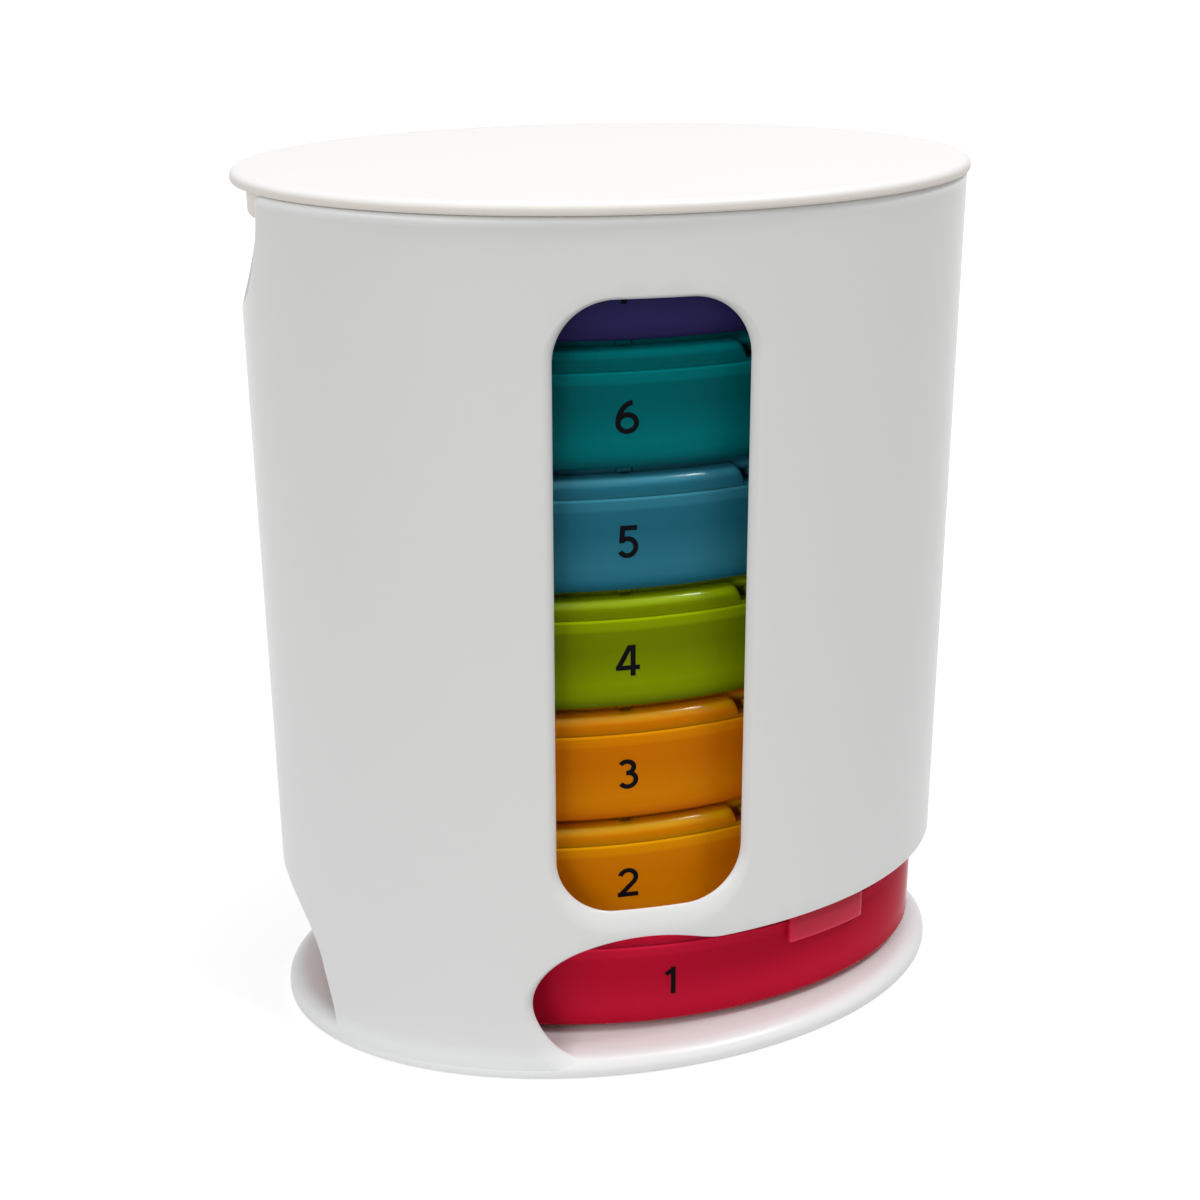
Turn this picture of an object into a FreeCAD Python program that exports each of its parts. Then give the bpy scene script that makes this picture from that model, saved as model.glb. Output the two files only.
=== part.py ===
"""Weekly pill tower: seven oval day boxes stacked in a white oval housing under a lift-off lid.

Millimetres, +Z up, +X along the long axis towards the exit opening, -Y towards the front window.
The origin is the centre of the underside. Each day box is a tray on a foot ring, a cross-shaped
divider that makes 2 x 2 compartments, a cover frame that snaps on the tray, and four flaps hinged
beside the frame's spine, each with a thumb tab.
"""
import FreeCAD, Part

import os

from FreeCAD import Vector

os.makedirs("parts", exist_ok=True)

# ---- housing: an oval tube moulded in one with its floor ----
SHELL_A, SHELL_B = 61.5, 38.1        # outer half-lengths of the oval along X and Y
SHELL_WALL = 1.7
SHELL_TOP = 152.0
SHELL_BANDS = 28                     # the wall's faces are divided into this many level bands
SHELL_EDGE_R = 0.8                   # rounding of the top rim's outer edge
BASE_A, BASE_B = 61.9, 38.55         # the foot rim stands a little proud of the shell
FLOOR_TOP = 3.7
BASE_EDGE_R, BASE_FOOT_R = 2.0, 0.8  # rounding of the foot rim above and below
CUT_REACH = 80.0                     # how far a cutting prism runs past the walls

# ---- front window ----
WINDOW_LOW, WINDOW_HIGH = 32.0, 140.0
WINDOW_HALF_LOW, WINDOW_HALF_HIGH = 16.3, 15.1
WINDOW_R_LOW, WINDOW_R_HIGH = 10.0, 8.5

# ---- exit opening at the right, through which the lowest box is drawn ----
EXIT_TOP = 25.1
EXIT_FRONT_X = 11.7                  # the raised stretch of the front edge ends here
EXIT_BACK_X, EXIT_BACK_R = 15.0, 5.0
EXIT_FRONT_CURVE = [                 # raised front edge, then round the left end to the floor (x, z)
    (EXIT_FRONT_X, EXIT_TOP), (6.4, 26.4), (-1.0, 27.35), (-9.0, 26.2), (-17.1, 21.9),
    (-20.8, 15.0), (-18.6, 8.3), (-13.5, FLOOR_TOP),
]
EXIT_CURVE_STARTS, EXIT_CURVE_ENDS = (-1.0, 0.15), (1.0, -0.9)

# ---- push-out arch and lid notch, both at the left end ----
ARCH_R, ARCH_CENTRE_Z = 16.0, 12.0
ARCH_SPRING_Z, ARCH_FOOT_HALF = 14.0, 18.2
NOTCH_HALF, NOTCH_DEPTH = 12.0, 20.0

# ---- tower lid ----
LID_GAP = 0.3
LID_A, LID_B, LID_T = 62.0, 39.5, 2.3
LID_TOP_R, LID_UNDER_R = 1.2, 0.5
PLUG_CLEAR, PLUG_WALL, PLUG_DEPTH = 0.3, 1.2, 5.0

# ---- day boxes ----
DAYS = ["monday", "tuesday", "wednesday", "thursday", "friday", "saturday", "sunday"]
BOX_A, BOX_B = 54.0, 31.6
BOX_H, BOX_PITCH, BOX_FLOOR_GAP = 20.7, 21.05, 0.3
STACK_X, MONDAY_X = -3.0, 4.5        # box centres along X: the lowest one is drawn out a little
SEAM_Z = 17.1                        # where the cover frame sits on the tray
TRAY_WALL, TRAY_R_OUT, TRAY_R_IN = 1.2, 2.0, 1.8
FOOT_H, FOOT_W, FOOT_INSET = 1.9, 1.4, 6.0   # ring under the tray that nests in the rim of the box below
DIVIDER_T, DIVIDER_TOP, DIVIDER_CLEAR = 1.2, 17.0, 0.1

# ---- cover frame ----
RIM_INSET, RIM_W, RIM_R = 0.3, 2.6, 1.6   # the rim stands in from the tray's edge; its width includes that
RECESS_X = (19.7, 38.5)              # the rim is low here, to let a tab through
RECESS_Z, RECESS_R = 17.6, 1.5
LIP_CLEAR, LIP_W, LIP_DEPTH = 0.1, 1.0, 1.5
BAR_INSET, BAR_TOP = 2.0, 20.65      # the bars run into the rim, and carry the foot ring of the next box
SPINE_HALF, CROSS_HALF = 1.2, 1.0
EAR_HALF_Y, EAR_TOP, CENTRE_EAR_X = 4.2, 19.7, 4.6
END_EAR_X, END_BRIDGE_HALF = (42.0, 44.5), 2.0

# ---- flaps and their hinges ----
HINGE_Y, HINGE_Z = 3.0, 18.5
PIN_R, PIN_CLEAR, PIN_REACH = 0.75, 0.05, 2.2
BARREL_R, BARREL_X = 1.2, (5.0, 41.6)
FLAP_T, FLAP_CLEAR, FLAP_SIDE_X = 1.2, 0.4, 1.4
POCKET_CLEAR_X, POCKET_Y = 0.4, 5.2  # notches in the flap that clear the hinge ears
TAB_X = (21.7, 36.5)
TAB_GAP, TAB_T, TAB_BOTTOM = 0.35, 1.15, 12.8

LEVEL_TOL = 1e-4                     # heights closer than this are one level
UP = Vector(0, 0, 1)
ALONG_X, ALONG_Y = Vector(1, 0, 0), Vector(0, 1, 0)


def oval(a, b, z_low, z_high):
    """An upright solid of elliptical section with half-lengths a and b."""
    edge = Part.Ellipse(Vector(0, 0, z_low), a, b).toShape()
    return Part.Face(Part.Wire(edge)).extrude(UP * (z_high - z_low))


def oval_ring(a, b, wall, z_low, z_high):
    """An upright oval tube, open at both ends."""
    return oval(a, b, z_low, z_high).cut(oval(a - wall, b - wall, z_low, z_high))


def block(x_range, y_range, z_range):
    """A rectangular block between pairs of limits."""
    size = [high - low for low, high in (x_range, y_range, z_range)]
    return Part.makeBox(*size, Vector(x_range[0], y_range[0], z_range[0]))


def edges_at(shape, z):
    """The edges that lie wholly in the level plane at z."""
    return [e for e in shape.Edges
            if abs(e.BoundBox.ZMin - z) < LEVEL_TOL and abs(e.BoundBox.ZMax - z) < LEVEL_TOL]


def prism_from_xz(edges, y_low, y_high):
    """A prism along Y over a closed outline drawn in the plane y = 0."""
    face = Part.Face(Part.Wire(edges))
    face.translate(ALONG_Y * y_low)
    return face.extrude(ALONG_Y * (y_high - y_low))


def xz(x, z):
    """A point of an outline drawn in the plane y = 0."""
    return Vector(x, 0, z)


def window_cut():
    """The front window: narrower at the top, with a large radius at each corner."""
    corners = [xz(-WINDOW_HALF_LOW, WINDOW_LOW), xz(WINDOW_HALF_LOW, WINDOW_LOW),
               xz(WINDOW_HALF_HIGH, WINDOW_HIGH), xz(-WINDOW_HALF_HIGH, WINDOW_HIGH)]
    sides = Part.makePolygon(corners + corners[:1]).Edges
    prism = prism_from_xz(sides, -CUT_REACH, 0.0)
    for level, radius in ((WINDOW_LOW, WINDOW_R_LOW), (WINDOW_HIGH, WINDOW_R_HIGH)):
        uprights = [e for e in edges_at(prism, level) if e.BoundBox.YLength > CUT_REACH / 2]
        prism = prism.makeFillet(radius, uprights)
    return prism


def exit_cut():
    """The exit opening: a raised, rounded front part and a plain back part with one round corner."""
    curve = Part.BSplineCurve()
    points = [xz(x, z) for x, z in EXIT_FRONT_CURVE]
    curve.interpolate(points, InitialTangent=xz(*EXIT_CURVE_STARTS), FinalTangent=xz(*EXIT_CURVE_ENDS))
    far_high, far_low = xz(CUT_REACH, EXIT_TOP), xz(CUT_REACH, FLOOR_TOP)
    front = prism_from_xz([Part.makeLine(far_high, points[0]), curve.toShape(),
                           Part.makeLine(points[-1], far_low), Part.makeLine(far_low, far_high)],
                          -CUT_REACH, 0.0)
    back = block((EXIT_BACK_X, CUT_REACH), (0.0, CUT_REACH), (FLOOR_TOP, EXIT_TOP))
    corner = [e for e in edges_at(back, EXIT_TOP) if abs(e.BoundBox.XMax - EXIT_BACK_X) < LEVEL_TOL]
    return front.fuse(back.makeFillet(EXIT_BACK_R, corner))


def arch_cut():
    """The push-out arch: flared sides under a round head, cut through the left end only."""
    half = (ARCH_R ** 2 - (ARCH_SPRING_Z - ARCH_CENTRE_Z) ** 2) ** 0.5
    left_foot, right_foot = Vector(0, -ARCH_FOOT_HALF, FLOOR_TOP), Vector(0, ARCH_FOOT_HALF, FLOOR_TOP)
    left, right = Vector(0, -half, ARCH_SPRING_Z), Vector(0, half, ARCH_SPRING_Z)
    head = Part.Arc(left, Vector(0, 0, ARCH_CENTRE_Z + ARCH_R), right).toShape()
    outline = Part.Wire([Part.makeLine(left_foot, left), head, Part.makeLine(right, right_foot),
                         Part.makeLine(right_foot, left_foot)])
    return Part.Face(outline).extrude(ALONG_X * -CUT_REACH)


def notch_cut():
    """The finger notch under the lid at the left end: the lower half of an upright oval."""
    centre = Vector(0, 0, SHELL_TOP)
    outline = Part.Ellipse(centre + UP * NOTCH_DEPTH, centre + ALONG_Y * NOTCH_HALF, centre).toShape()
    return Part.Face(Part.Wire(outline)).extrude(ALONG_X * -CUT_REACH)


def build_wall():
    """The shell before its openings are cut: level rings on each other, the top one rounded outside."""
    step = (SHELL_TOP - FLOOR_TOP) / SHELL_BANDS
    levels = [FLOOR_TOP + step * i for i in range(SHELL_BANDS)] + [SHELL_TOP]
    rings = []
    for low, high in zip(levels, levels[1:]):
        ring = oval(SHELL_A, SHELL_B, low, high)
        if high == SHELL_TOP:
            ring = ring.makeFillet(SHELL_EDGE_R, edges_at(ring, SHELL_TOP))
        rings.append(ring.cut(oval(SHELL_A - SHELL_WALL, SHELL_B - SHELL_WALL, low, high)))
    return rings[0].fuse(rings[1:])


def build_housing():
    """The floor with its foot rim and the shell, less the window, exit, arch and notch."""
    base = oval(BASE_A, BASE_B, 0.0, FLOOR_TOP)
    base = base.makeFillet(BASE_EDGE_R, edges_at(base, FLOOR_TOP))
    base = base.makeFillet(BASE_FOOT_R, edges_at(base, 0.0))
    shell = build_wall()
    for tool in (window_cut(), exit_cut(), arch_cut(), notch_cut()):
        shell = shell.cut(tool)
    root = oval_ring(SHELL_A, SHELL_B, SHELL_WALL, FLOOR_TOP - BASE_EDGE_R, FLOOR_TOP)
    root = root.cut(exit_cut().translated(-UP * BASE_EDGE_R)).cut(arch_cut().translated(-UP * BASE_EDGE_R))
    return base.fuse([root, shell])


def build_tower_lid():
    """The lid: an oval plate with a rounded edge, over a plug ring that drops into the shell."""
    under = SHELL_TOP + LID_GAP
    plate = oval(LID_A, LID_B, under, under + LID_T)
    plate = plate.makeFillet(LID_TOP_R, edges_at(plate, under + LID_T))
    plate = plate.makeFillet(LID_UNDER_R, edges_at(plate, under))
    inset = SHELL_WALL + PLUG_CLEAR
    plug = oval_ring(SHELL_A - inset, SHELL_B - inset, PLUG_WALL, under - PLUG_DEPTH, under + LID_T / 2)
    return plate.fuse(plug).removeSplitter()


def tray_hollow(clear=0.0):
    """The tray's inside with its rounded floor edge, drawn in by a clearance at the wall."""
    inset, floor = TRAY_WALL + clear, FOOT_H + TRAY_WALL
    hollow = oval(BOX_A - inset, BOX_B - inset, floor, SEAM_Z)
    return hollow.makeFillet(TRAY_R_IN, edges_at(hollow, floor))


def build_tray():
    """A day tray: an oval cup with a rounded lower edge, on a foot ring."""
    body = oval(BOX_A, BOX_B, FOOT_H, SEAM_Z)
    body = body.makeFillet(TRAY_R_OUT, edges_at(body, FOOT_H))
    foot = oval_ring(BOX_A - FOOT_INSET, BOX_B - FOOT_INSET, FOOT_W, 0.0, FOOT_H + TRAY_WALL / 2)
    return body.cut(tray_hollow()).fuse(foot).removeSplitter()


def build_divider():
    """The cross-shaped divider: a spine wall and a cross wall that stand on the tray's floor."""
    half, floor = DIVIDER_T / 2, FOOT_H + TRAY_WALL
    walls = block((-BOX_A, BOX_A), (-half, half), (floor, DIVIDER_TOP))
    walls = walls.fuse(block((-half, half), (-BOX_B, BOX_B), (floor, DIVIDER_TOP)))
    return walls.common(tray_hollow(DIVIDER_CLEAR)).removeSplitter()


def recess_cut():
    """One prism that lowers the rim between two rounded shoulders, front and back alike."""
    low, high = RECESS_X
    top, turn = BOX_H, BOX_H - RECESS_R
    bend = RECESS_R * (1 - 0.5 ** 0.5)
    left = Part.Arc(xz(low - RECESS_R, top), xz(low - bend, top - bend), xz(low, turn)).toShape()
    right = Part.Arc(xz(high, turn), xz(high + bend, top - bend), xz(high + RECESS_R, top)).toShape()
    outline = [left, Part.makeLine(xz(low, turn), xz(low, RECESS_Z)),
               Part.makeLine(xz(low, RECESS_Z), xz(high, RECESS_Z)),
               Part.makeLine(xz(high, RECESS_Z), xz(high, turn)), right,
               Part.makeLine(xz(high + RECESS_R, top), xz(low - RECESS_R, top))]
    return prism_from_xz(outline, -BOX_B, BOX_B)


def build_cover_frame():
    """The cover frame: a raised rim with four low places, a spine with hinge ears, and a cross bar."""
    rim = oval(BOX_A - RIM_INSET, BOX_B - RIM_INSET, SEAM_Z, BOX_H)
    rim = rim.makeFillet(RIM_R, edges_at(rim, BOX_H))
    rim = rim.cut(oval(BOX_A - RIM_W, BOX_B - RIM_W, SEAM_Z, BOX_H))
    recess = recess_cut()
    rim = rim.cut(recess).cut(recess.mirror(Vector(), ALONG_X))

    lip_inset = TRAY_WALL + LIP_CLEAR
    lip = oval_ring(BOX_A - lip_inset, BOX_B - lip_inset, LIP_W, SEAM_Z - LIP_DEPTH, SEAM_Z)
    gap = DIVIDER_T / 2 + LIP_CLEAR
    lip = lip.cut(block((-BOX_A, BOX_A), (-gap, gap), (0.0, SEAM_Z)))
    lip = lip.cut(block((-gap, gap), (-BOX_B, BOX_B), (0.0, SEAM_Z)))
    bed = oval_ring(BOX_A - lip_inset, BOX_B - lip_inset, LIP_W + LIP_CLEAR, SEAM_Z, RECESS_Z)

    bars = block((-BOX_A, BOX_A), (-SPINE_HALF, SPINE_HALF), (SEAM_Z, BAR_TOP))
    bars = bars.fuse([
        block((-CROSS_HALF, CROSS_HALF), (-BOX_B, BOX_B), (SEAM_Z, BAR_TOP)),
        block((-CENTRE_EAR_X, CENTRE_EAR_X), (-EAR_HALF_Y, EAR_HALF_Y), (SEAM_Z, EAR_TOP)),
    ])
    for side in (-1, 1):
        ear_x = sorted(side * x for x in END_EAR_X)
        bridge_x = sorted((side * END_EAR_X[1], side * BOX_A))
        bars = bars.fuse([block(ear_x, (-EAR_HALF_Y, EAR_HALF_Y), (SEAM_Z, EAR_TOP)),
                          block(bridge_x, (-END_BRIDGE_HALF, END_BRIDGE_HALF), (SEAM_Z, EAR_TOP))])
    bars = bars.common(oval(BOX_A - BAR_INSET, BOX_B - BAR_INSET, 0.0, BOX_H))
    pin_end = BARREL_X[1] + PIN_REACH + FLAP_CLEAR
    for y in (-HINGE_Y, HINGE_Y):
        start = Vector(-pin_end, y, HINGE_Z)
        bars = bars.cut(Part.makeCylinder(PIN_R + PIN_CLEAR, 2 * pin_end, start, ALONG_X))
    return rim.fuse([lip, bed, bars]).removeSplitter()


def build_flap():
    """The flap over the back right compartment: plate, hinge barrel with two pins, and thumb tab."""
    low, high = HINGE_Z - FLAP_T / 2, HINGE_Z + FLAP_T / 2
    inset = RIM_W + FLAP_CLEAR
    plate = oval(BOX_A - inset, BOX_B - inset, low, high)
    plate = plate.common(block((FLAP_SIDE_X, BOX_A), (HINGE_Y, BOX_B), (low, high)))
    end_pocket = (BARREL_X[1], END_EAR_X[1] + POCKET_CLEAR_X)
    for pocket_x in ((0.0, BARREL_X[0]), end_pocket):
        plate = plate.cut(block(pocket_x, (0.0, POCKET_Y), (low, high)))

    def rod(radius, x_low, x_high):
        """A round rod on the hinge axis."""
        return Part.makeCylinder(radius, x_high - x_low, Vector(x_low, HINGE_Y, HINGE_Z), ALONG_X)

    hinge = rod(BARREL_R, *BARREL_X).fuse(rod(PIN_R, BARREL_X[0] - PIN_REACH, BARREL_X[1] + PIN_REACH))
    reach = TAB_GAP + TAB_T
    tab = oval(BOX_A + reach, BOX_B + reach, TAB_BOTTOM, high)
    tab = tab.makeFillet(FLAP_T / 2, edges_at(tab, high))
    tab = tab.cut(oval(BOX_A + TAB_GAP, BOX_B + TAB_GAP, TAB_BOTTOM, low))
    tab = tab.cut(oval(BOX_A - inset - FLAP_T, BOX_B - inset - FLAP_T, low, high))
    tab = tab.common(block(TAB_X, (0.0, 2 * BOX_B), (TAB_BOTTOM, high)))
    return plate.fuse([hinge, tab]).removeSplitter()


def export(name, shape, place=Vector()):
    """Write one closed solid to its own file."""
    solid = shape.Solids[0] if len(shape.Solids) == 1 else shape
    if len(shape.Solids) != 1 or not solid.isValid():
        print(name, "solids", len(shape.Solids), "valid", solid.isValid())
    solid = solid.copy()
    solid.translate(place)
    solid.exportStep(f"parts/{name}.step")


def main():
    """Build every piece and write it."""
    export("housing", build_housing())
    export("tower_lid", build_tower_lid())
    tray, divider, frame, flap = build_tray(), build_divider(), build_cover_frame(), build_flap()
    origin = Vector()
    flap_left = flap.mirror(origin, ALONG_X)
    flaps = {
        "back_right_flap": flap,
        "back_left_flap": flap_left,
        "front_right_flap": flap.mirror(origin, ALONG_Y),
        "front_left_flap": flap_left.mirror(origin, ALONG_Y),
    }
    for level, day in enumerate(DAYS):
        x = MONDAY_X if level == 0 else STACK_X
        place = Vector(x, 0, FLOOR_TOP + BOX_FLOOR_GAP + level * BOX_PITCH)
        export(f"{day}_tray", tray, place)
        export(f"{day}_divider", divider, place)
        export(f"{day}_cover_frame", frame, place)
        for name, shape in flaps.items():
            export(f"{day}_{name}", shape, place)


main()
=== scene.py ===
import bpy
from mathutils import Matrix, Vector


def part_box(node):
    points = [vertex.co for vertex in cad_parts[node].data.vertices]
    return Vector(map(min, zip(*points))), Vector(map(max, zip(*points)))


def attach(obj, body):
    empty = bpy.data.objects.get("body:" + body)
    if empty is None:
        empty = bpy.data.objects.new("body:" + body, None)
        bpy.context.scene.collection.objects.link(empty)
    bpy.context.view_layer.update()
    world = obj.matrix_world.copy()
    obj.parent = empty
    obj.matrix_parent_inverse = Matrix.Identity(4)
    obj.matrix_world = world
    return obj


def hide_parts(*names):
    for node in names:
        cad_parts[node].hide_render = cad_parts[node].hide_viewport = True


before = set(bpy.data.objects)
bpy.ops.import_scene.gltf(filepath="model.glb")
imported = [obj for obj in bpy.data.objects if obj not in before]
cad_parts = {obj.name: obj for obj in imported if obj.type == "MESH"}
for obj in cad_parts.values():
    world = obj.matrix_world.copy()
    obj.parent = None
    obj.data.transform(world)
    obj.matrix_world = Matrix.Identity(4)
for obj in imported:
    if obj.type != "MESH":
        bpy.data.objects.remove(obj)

"""Weekly pill tower: the looks of its white housing, its lid and its seven tinted day boxes.

Every piece is a surface worked out with numpy in metres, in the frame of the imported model: +Z up, the
exit opening towards +X and the window towards -Y. Angles on an oval run anticlockwise seen from above,
from the right end over the back, so that the front is between pi and two pi.
"""
import logging
import math
from dataclasses import dataclass, replace
from enum import Enum

import bmesh
import bpy
import numpy as np
from mathutils import Matrix
from mathutils.geometry import delaunay_2d_cdt

MM = 0.001
TURN = 2.0 * math.pi
NO_POINTS = np.zeros((0, 2))
log = logging.getLogger("pill_tower")


# ---------------------------------------------------------------- plane curves

def arc(centre: tuple[float, float], radius: float, start: float, end: float, count: int) -> np.ndarray:
    """Points of a circular arc: centre plus radius times (cos, sin) of evenly spaced angles.

    Args:
        centre: centre of the circle.
        radius: its radius.
        start: first angle in degrees.
        end: last angle in degrees.
        count: number of points.

    Returns:
        An array of count points.
    """
    angle = np.radians(np.linspace(start, end, count))
    return np.stack([centre[0] + radius * np.cos(angle), centre[1] + radius * np.sin(angle)], 1)


def round_corners(corners: np.ndarray, radii: list[float], count: int = 10) -> np.ndarray:
    """A closed polygon with each corner replaced by its tangent arc.

    The arc's centre lies on the corner's bisector, radius / sin(half angle) away from the corner.

    Args:
        corners: the polygon's corners, anticlockwise.
        radii: one radius for each corner.
        count: points on each arc.

    Returns:
        The rounded outline's points.
    """
    pieces = []
    for i, radius in enumerate(radii):
        corner = corners[i]
        back = corners[i - 1] - corner
        ahead = corners[(i + 1) % len(corners)] - corner
        back, ahead = back / np.linalg.norm(back), ahead / np.linalg.norm(ahead)
        half = 0.5 * math.acos(float(np.clip(back @ ahead, -1.0, 1.0)))
        bisector = (back + ahead) / np.linalg.norm(back + ahead)
        centre = corner + bisector * radius / math.sin(half)
        first = corner + back * radius / math.tan(half) - centre
        last = corner + ahead * radius / math.tan(half) - centre
        start = math.atan2(first[1], first[0])
        sweep = (math.atan2(last[1], last[0]) - start + math.pi) % TURN - math.pi
        angle = start + sweep * np.linspace(0.0, 1.0, count)
        pieces.append(centre + radius * np.stack([np.cos(angle), np.sin(angle)], 1))
    return np.concatenate(pieces)


def spline_through(knots: np.ndarray, first: tuple[float, float], last: tuple[float, float],
                   count: int) -> np.ndarray:
    """A clamped cubic spline through the knots, by chord length.

    The slopes at the knots make the curvature continuous, and come from one tridiagonal system.

    Args:
        knots: points to pass through.
        first: direction at the first knot.
        last: direction at the last knot.
        count: number of points returned.

    Returns:
        Points of the curve.
    """
    gaps = np.linalg.norm(np.diff(knots, axis=0), axis=1)
    place = np.concatenate([[0.0], np.cumsum(gaps)])
    size = len(knots)
    system, right = np.eye(size), np.zeros((size, 2))
    right[0] = np.array(first) / np.linalg.norm(first)
    right[-1] = np.array(last) / np.linalg.norm(last)
    inner = np.arange(1, size - 1)
    before, after = gaps[:-1], gaps[1:]
    system[inner, inner - 1] = after
    system[inner, inner] = 2 * (before + after)
    system[inner, inner + 1] = before
    chords = np.diff(knots, axis=0) / gaps[:, None]
    right[1:-1] = 3 * (after[:, None] * chords[:-1] + before[:, None] * chords[1:])
    slopes = np.linalg.solve(system, right)
    where = np.linspace(0.0, place[-1], count)
    span = np.clip(np.searchsorted(place, where, side="right") - 1, 0, size - 2)
    width = gaps[span][:, None]
    u = ((where - place[span]) / gaps[span])[:, None]
    return ((1 + 2 * u) * (1 - u) ** 2 * knots[span] + u * (1 - u) ** 2 * width * slopes[span]
            + u ** 2 * (3 - 2 * u) * knots[span + 1] + u ** 2 * (u - 1) * width * slopes[span + 1])


def resample(path: np.ndarray, step: float, wrap: float) -> np.ndarray:
    """Evenly spaced points on a closed path whose first coordinate grows by wrap in one turn.

    Args:
        path: the path's points, without the closing one.
        step: wanted spacing.
        wrap: growth of the first coordinate over the loop; zero on a loop that doesn't go round.

    Returns:
        The new points, without the closing one.
    """
    closed = np.concatenate([path, path[:1] + np.array([[wrap, 0.0]])])
    along = np.concatenate([[0.0], np.cumsum(np.linalg.norm(np.diff(closed, axis=0), axis=1))])
    where = np.linspace(0.0, along[-1], max(8, round(along[-1] / step)), endpoint=False)
    return np.stack([np.interp(where, along, closed[:, k]) for k in (0, 1)], 1)


def soften(loop: np.ndarray, spread: float, step: float, wrap: float) -> np.ndarray:
    """Round a loop's corners by a running mean whose weights are a bell curve, exp(-(s / spread)^2 / 2).

    Args:
        loop: evenly spaced points of a closed loop.
        spread: width of the bell curve.
        step: the points' spacing.
        wrap: growth of the first coordinate over the loop.

    Returns:
        The rounded loop's points.
    """
    reach = max(1, math.ceil(3 * spread / step))
    weights = np.exp(-0.5 * (np.arange(-reach, reach + 1) * step / spread) ** 2)
    weights /= weights.sum()
    shift = np.array([[wrap, 0.0]])
    padded = np.concatenate([loop[-reach:] - shift, loop, loop[:reach] + shift])
    return np.stack([np.convolve(padded[:, k], weights, mode="valid") for k in (0, 1)], 1)


def left_normals(loop: np.ndarray, wrap: float = 0.0) -> np.ndarray:
    """Unit normals to the left of a closed loop: its central differences turned a quarter turn.

    Args:
        loop: the loop's points.
        wrap: growth of the first coordinate over the loop.

    Returns:
        One normal for each point.
    """
    shift = np.array([[wrap, 0.0]])
    ahead = np.concatenate([loop[1:], loop[:1] + shift])
    behind = np.concatenate([loop[-1:] - shift, loop[:-1]])
    tangent = ahead - behind
    tangent /= np.linalg.norm(tangent, axis=1, keepdims=True)
    return np.stack([-tangent[:, 1], tangent[:, 0]], 1)


def inside_any_odd(points: np.ndarray, loops: list[np.ndarray]) -> np.ndarray:
    """Even-odd test: whether a ray towards +x crosses the loops' sides an odd number of times.

    Args:
        points: points to test.
        loops: closed loops.

    Returns:
        True for each point that is inside.
    """
    crossings = np.zeros(len(points), int)
    for loop in loops:
        start, end = loop, np.roll(loop, -1, axis=0)
        rise = end[:, 1] - start[:, 1]
        level = points[:, 1:2]
        spans = (start[:, 1] > level) != (end[:, 1] > level)
        at = start[:, 0] + (level - start[:, 1]) * (end[:, 0] - start[:, 0]) / np.where(rise == 0, 1.0, rise)
        crossings += np.sum(spans & (at > points[:, 0:1]), axis=1)
    return crossings % 2 == 1


def triangulate(outlines: list[np.ndarray], free: np.ndarray, unit: float, near: float,
                inside_only: bool = False) -> tuple[np.ndarray, np.ndarray]:
    """Delaunay triangles that hold every side of some closed outlines, and some free points.

    Args:
        outlines: closed outlines.
        free: points that lie on no outline.
        unit: the points are measured in this unit while they are joined.
        near: points closer than this, in that unit, are one.
        inside_only: leave out what lies outside the outlines.

    Returns:
        The points, the outlines' first, and the triangles.
    """
    starts = np.cumsum([0] + [len(outline) for outline in outlines])
    sides = np.concatenate([np.stack([np.arange(a, b), np.roll(np.arange(a, b), -1)], 1)
                            for a, b in zip(starts, starts[1:])])
    spots = np.concatenate([*outlines, free]) / unit
    found, _, triangles, *_ = delaunay_2d_cdt(spots.tolist(), sides.tolist(), [], int(inside_only), near)
    return np.array([tuple(point) for point in found]) * unit, np.array(triangles)


def fill_union(outlines: list[np.ndarray]) -> tuple[np.ndarray, np.ndarray]:
    """Triangulate the area that several closed outlines cover together.

    Args:
        outlines: closed outlines, which may overlap.

    Returns:
        The points, and the triangles whose middles lie inside any one outline.
    """
    points, triangles = triangulate(outlines, NO_POINTS, MM, 1e-4)
    middles = points[triangles].mean(axis=1)
    kept = np.any([inside_any_odd(middles, [outline]) for outline in outlines], axis=0)
    return points, triangles[kept]


def border_edges(triangles: np.ndarray) -> np.ndarray:
    """Find the edges that belong to one triangle only.

    Args:
        triangles: rows of three point numbers.

    Returns:
        Rows of two point numbers, in their triangle's own direction.
    """
    edges = np.concatenate([triangles[:, [0, 1]], triangles[:, [1, 2]], triangles[:, [2, 0]]])
    _, place, times = np.unique(np.sort(edges, axis=1), axis=0, return_inverse=True, return_counts=True)
    return edges[times[place.ravel()] == 1]


def quarter_turn(steps: int) -> tuple[np.ndarray, np.ndarray]:
    """A rounded edge of radius one, in even steps of a quarter turn.

    Args:
        steps: faces across the rounding.

    Returns:
        1 - sine, which falls from one to zero, and 1 - cosine, which grows from zero to one.
    """
    phi = np.linspace(0.0, 0.5 * math.pi, steps + 1)
    return 1 - np.sin(phi), 1 - np.cos(phi)


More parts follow.
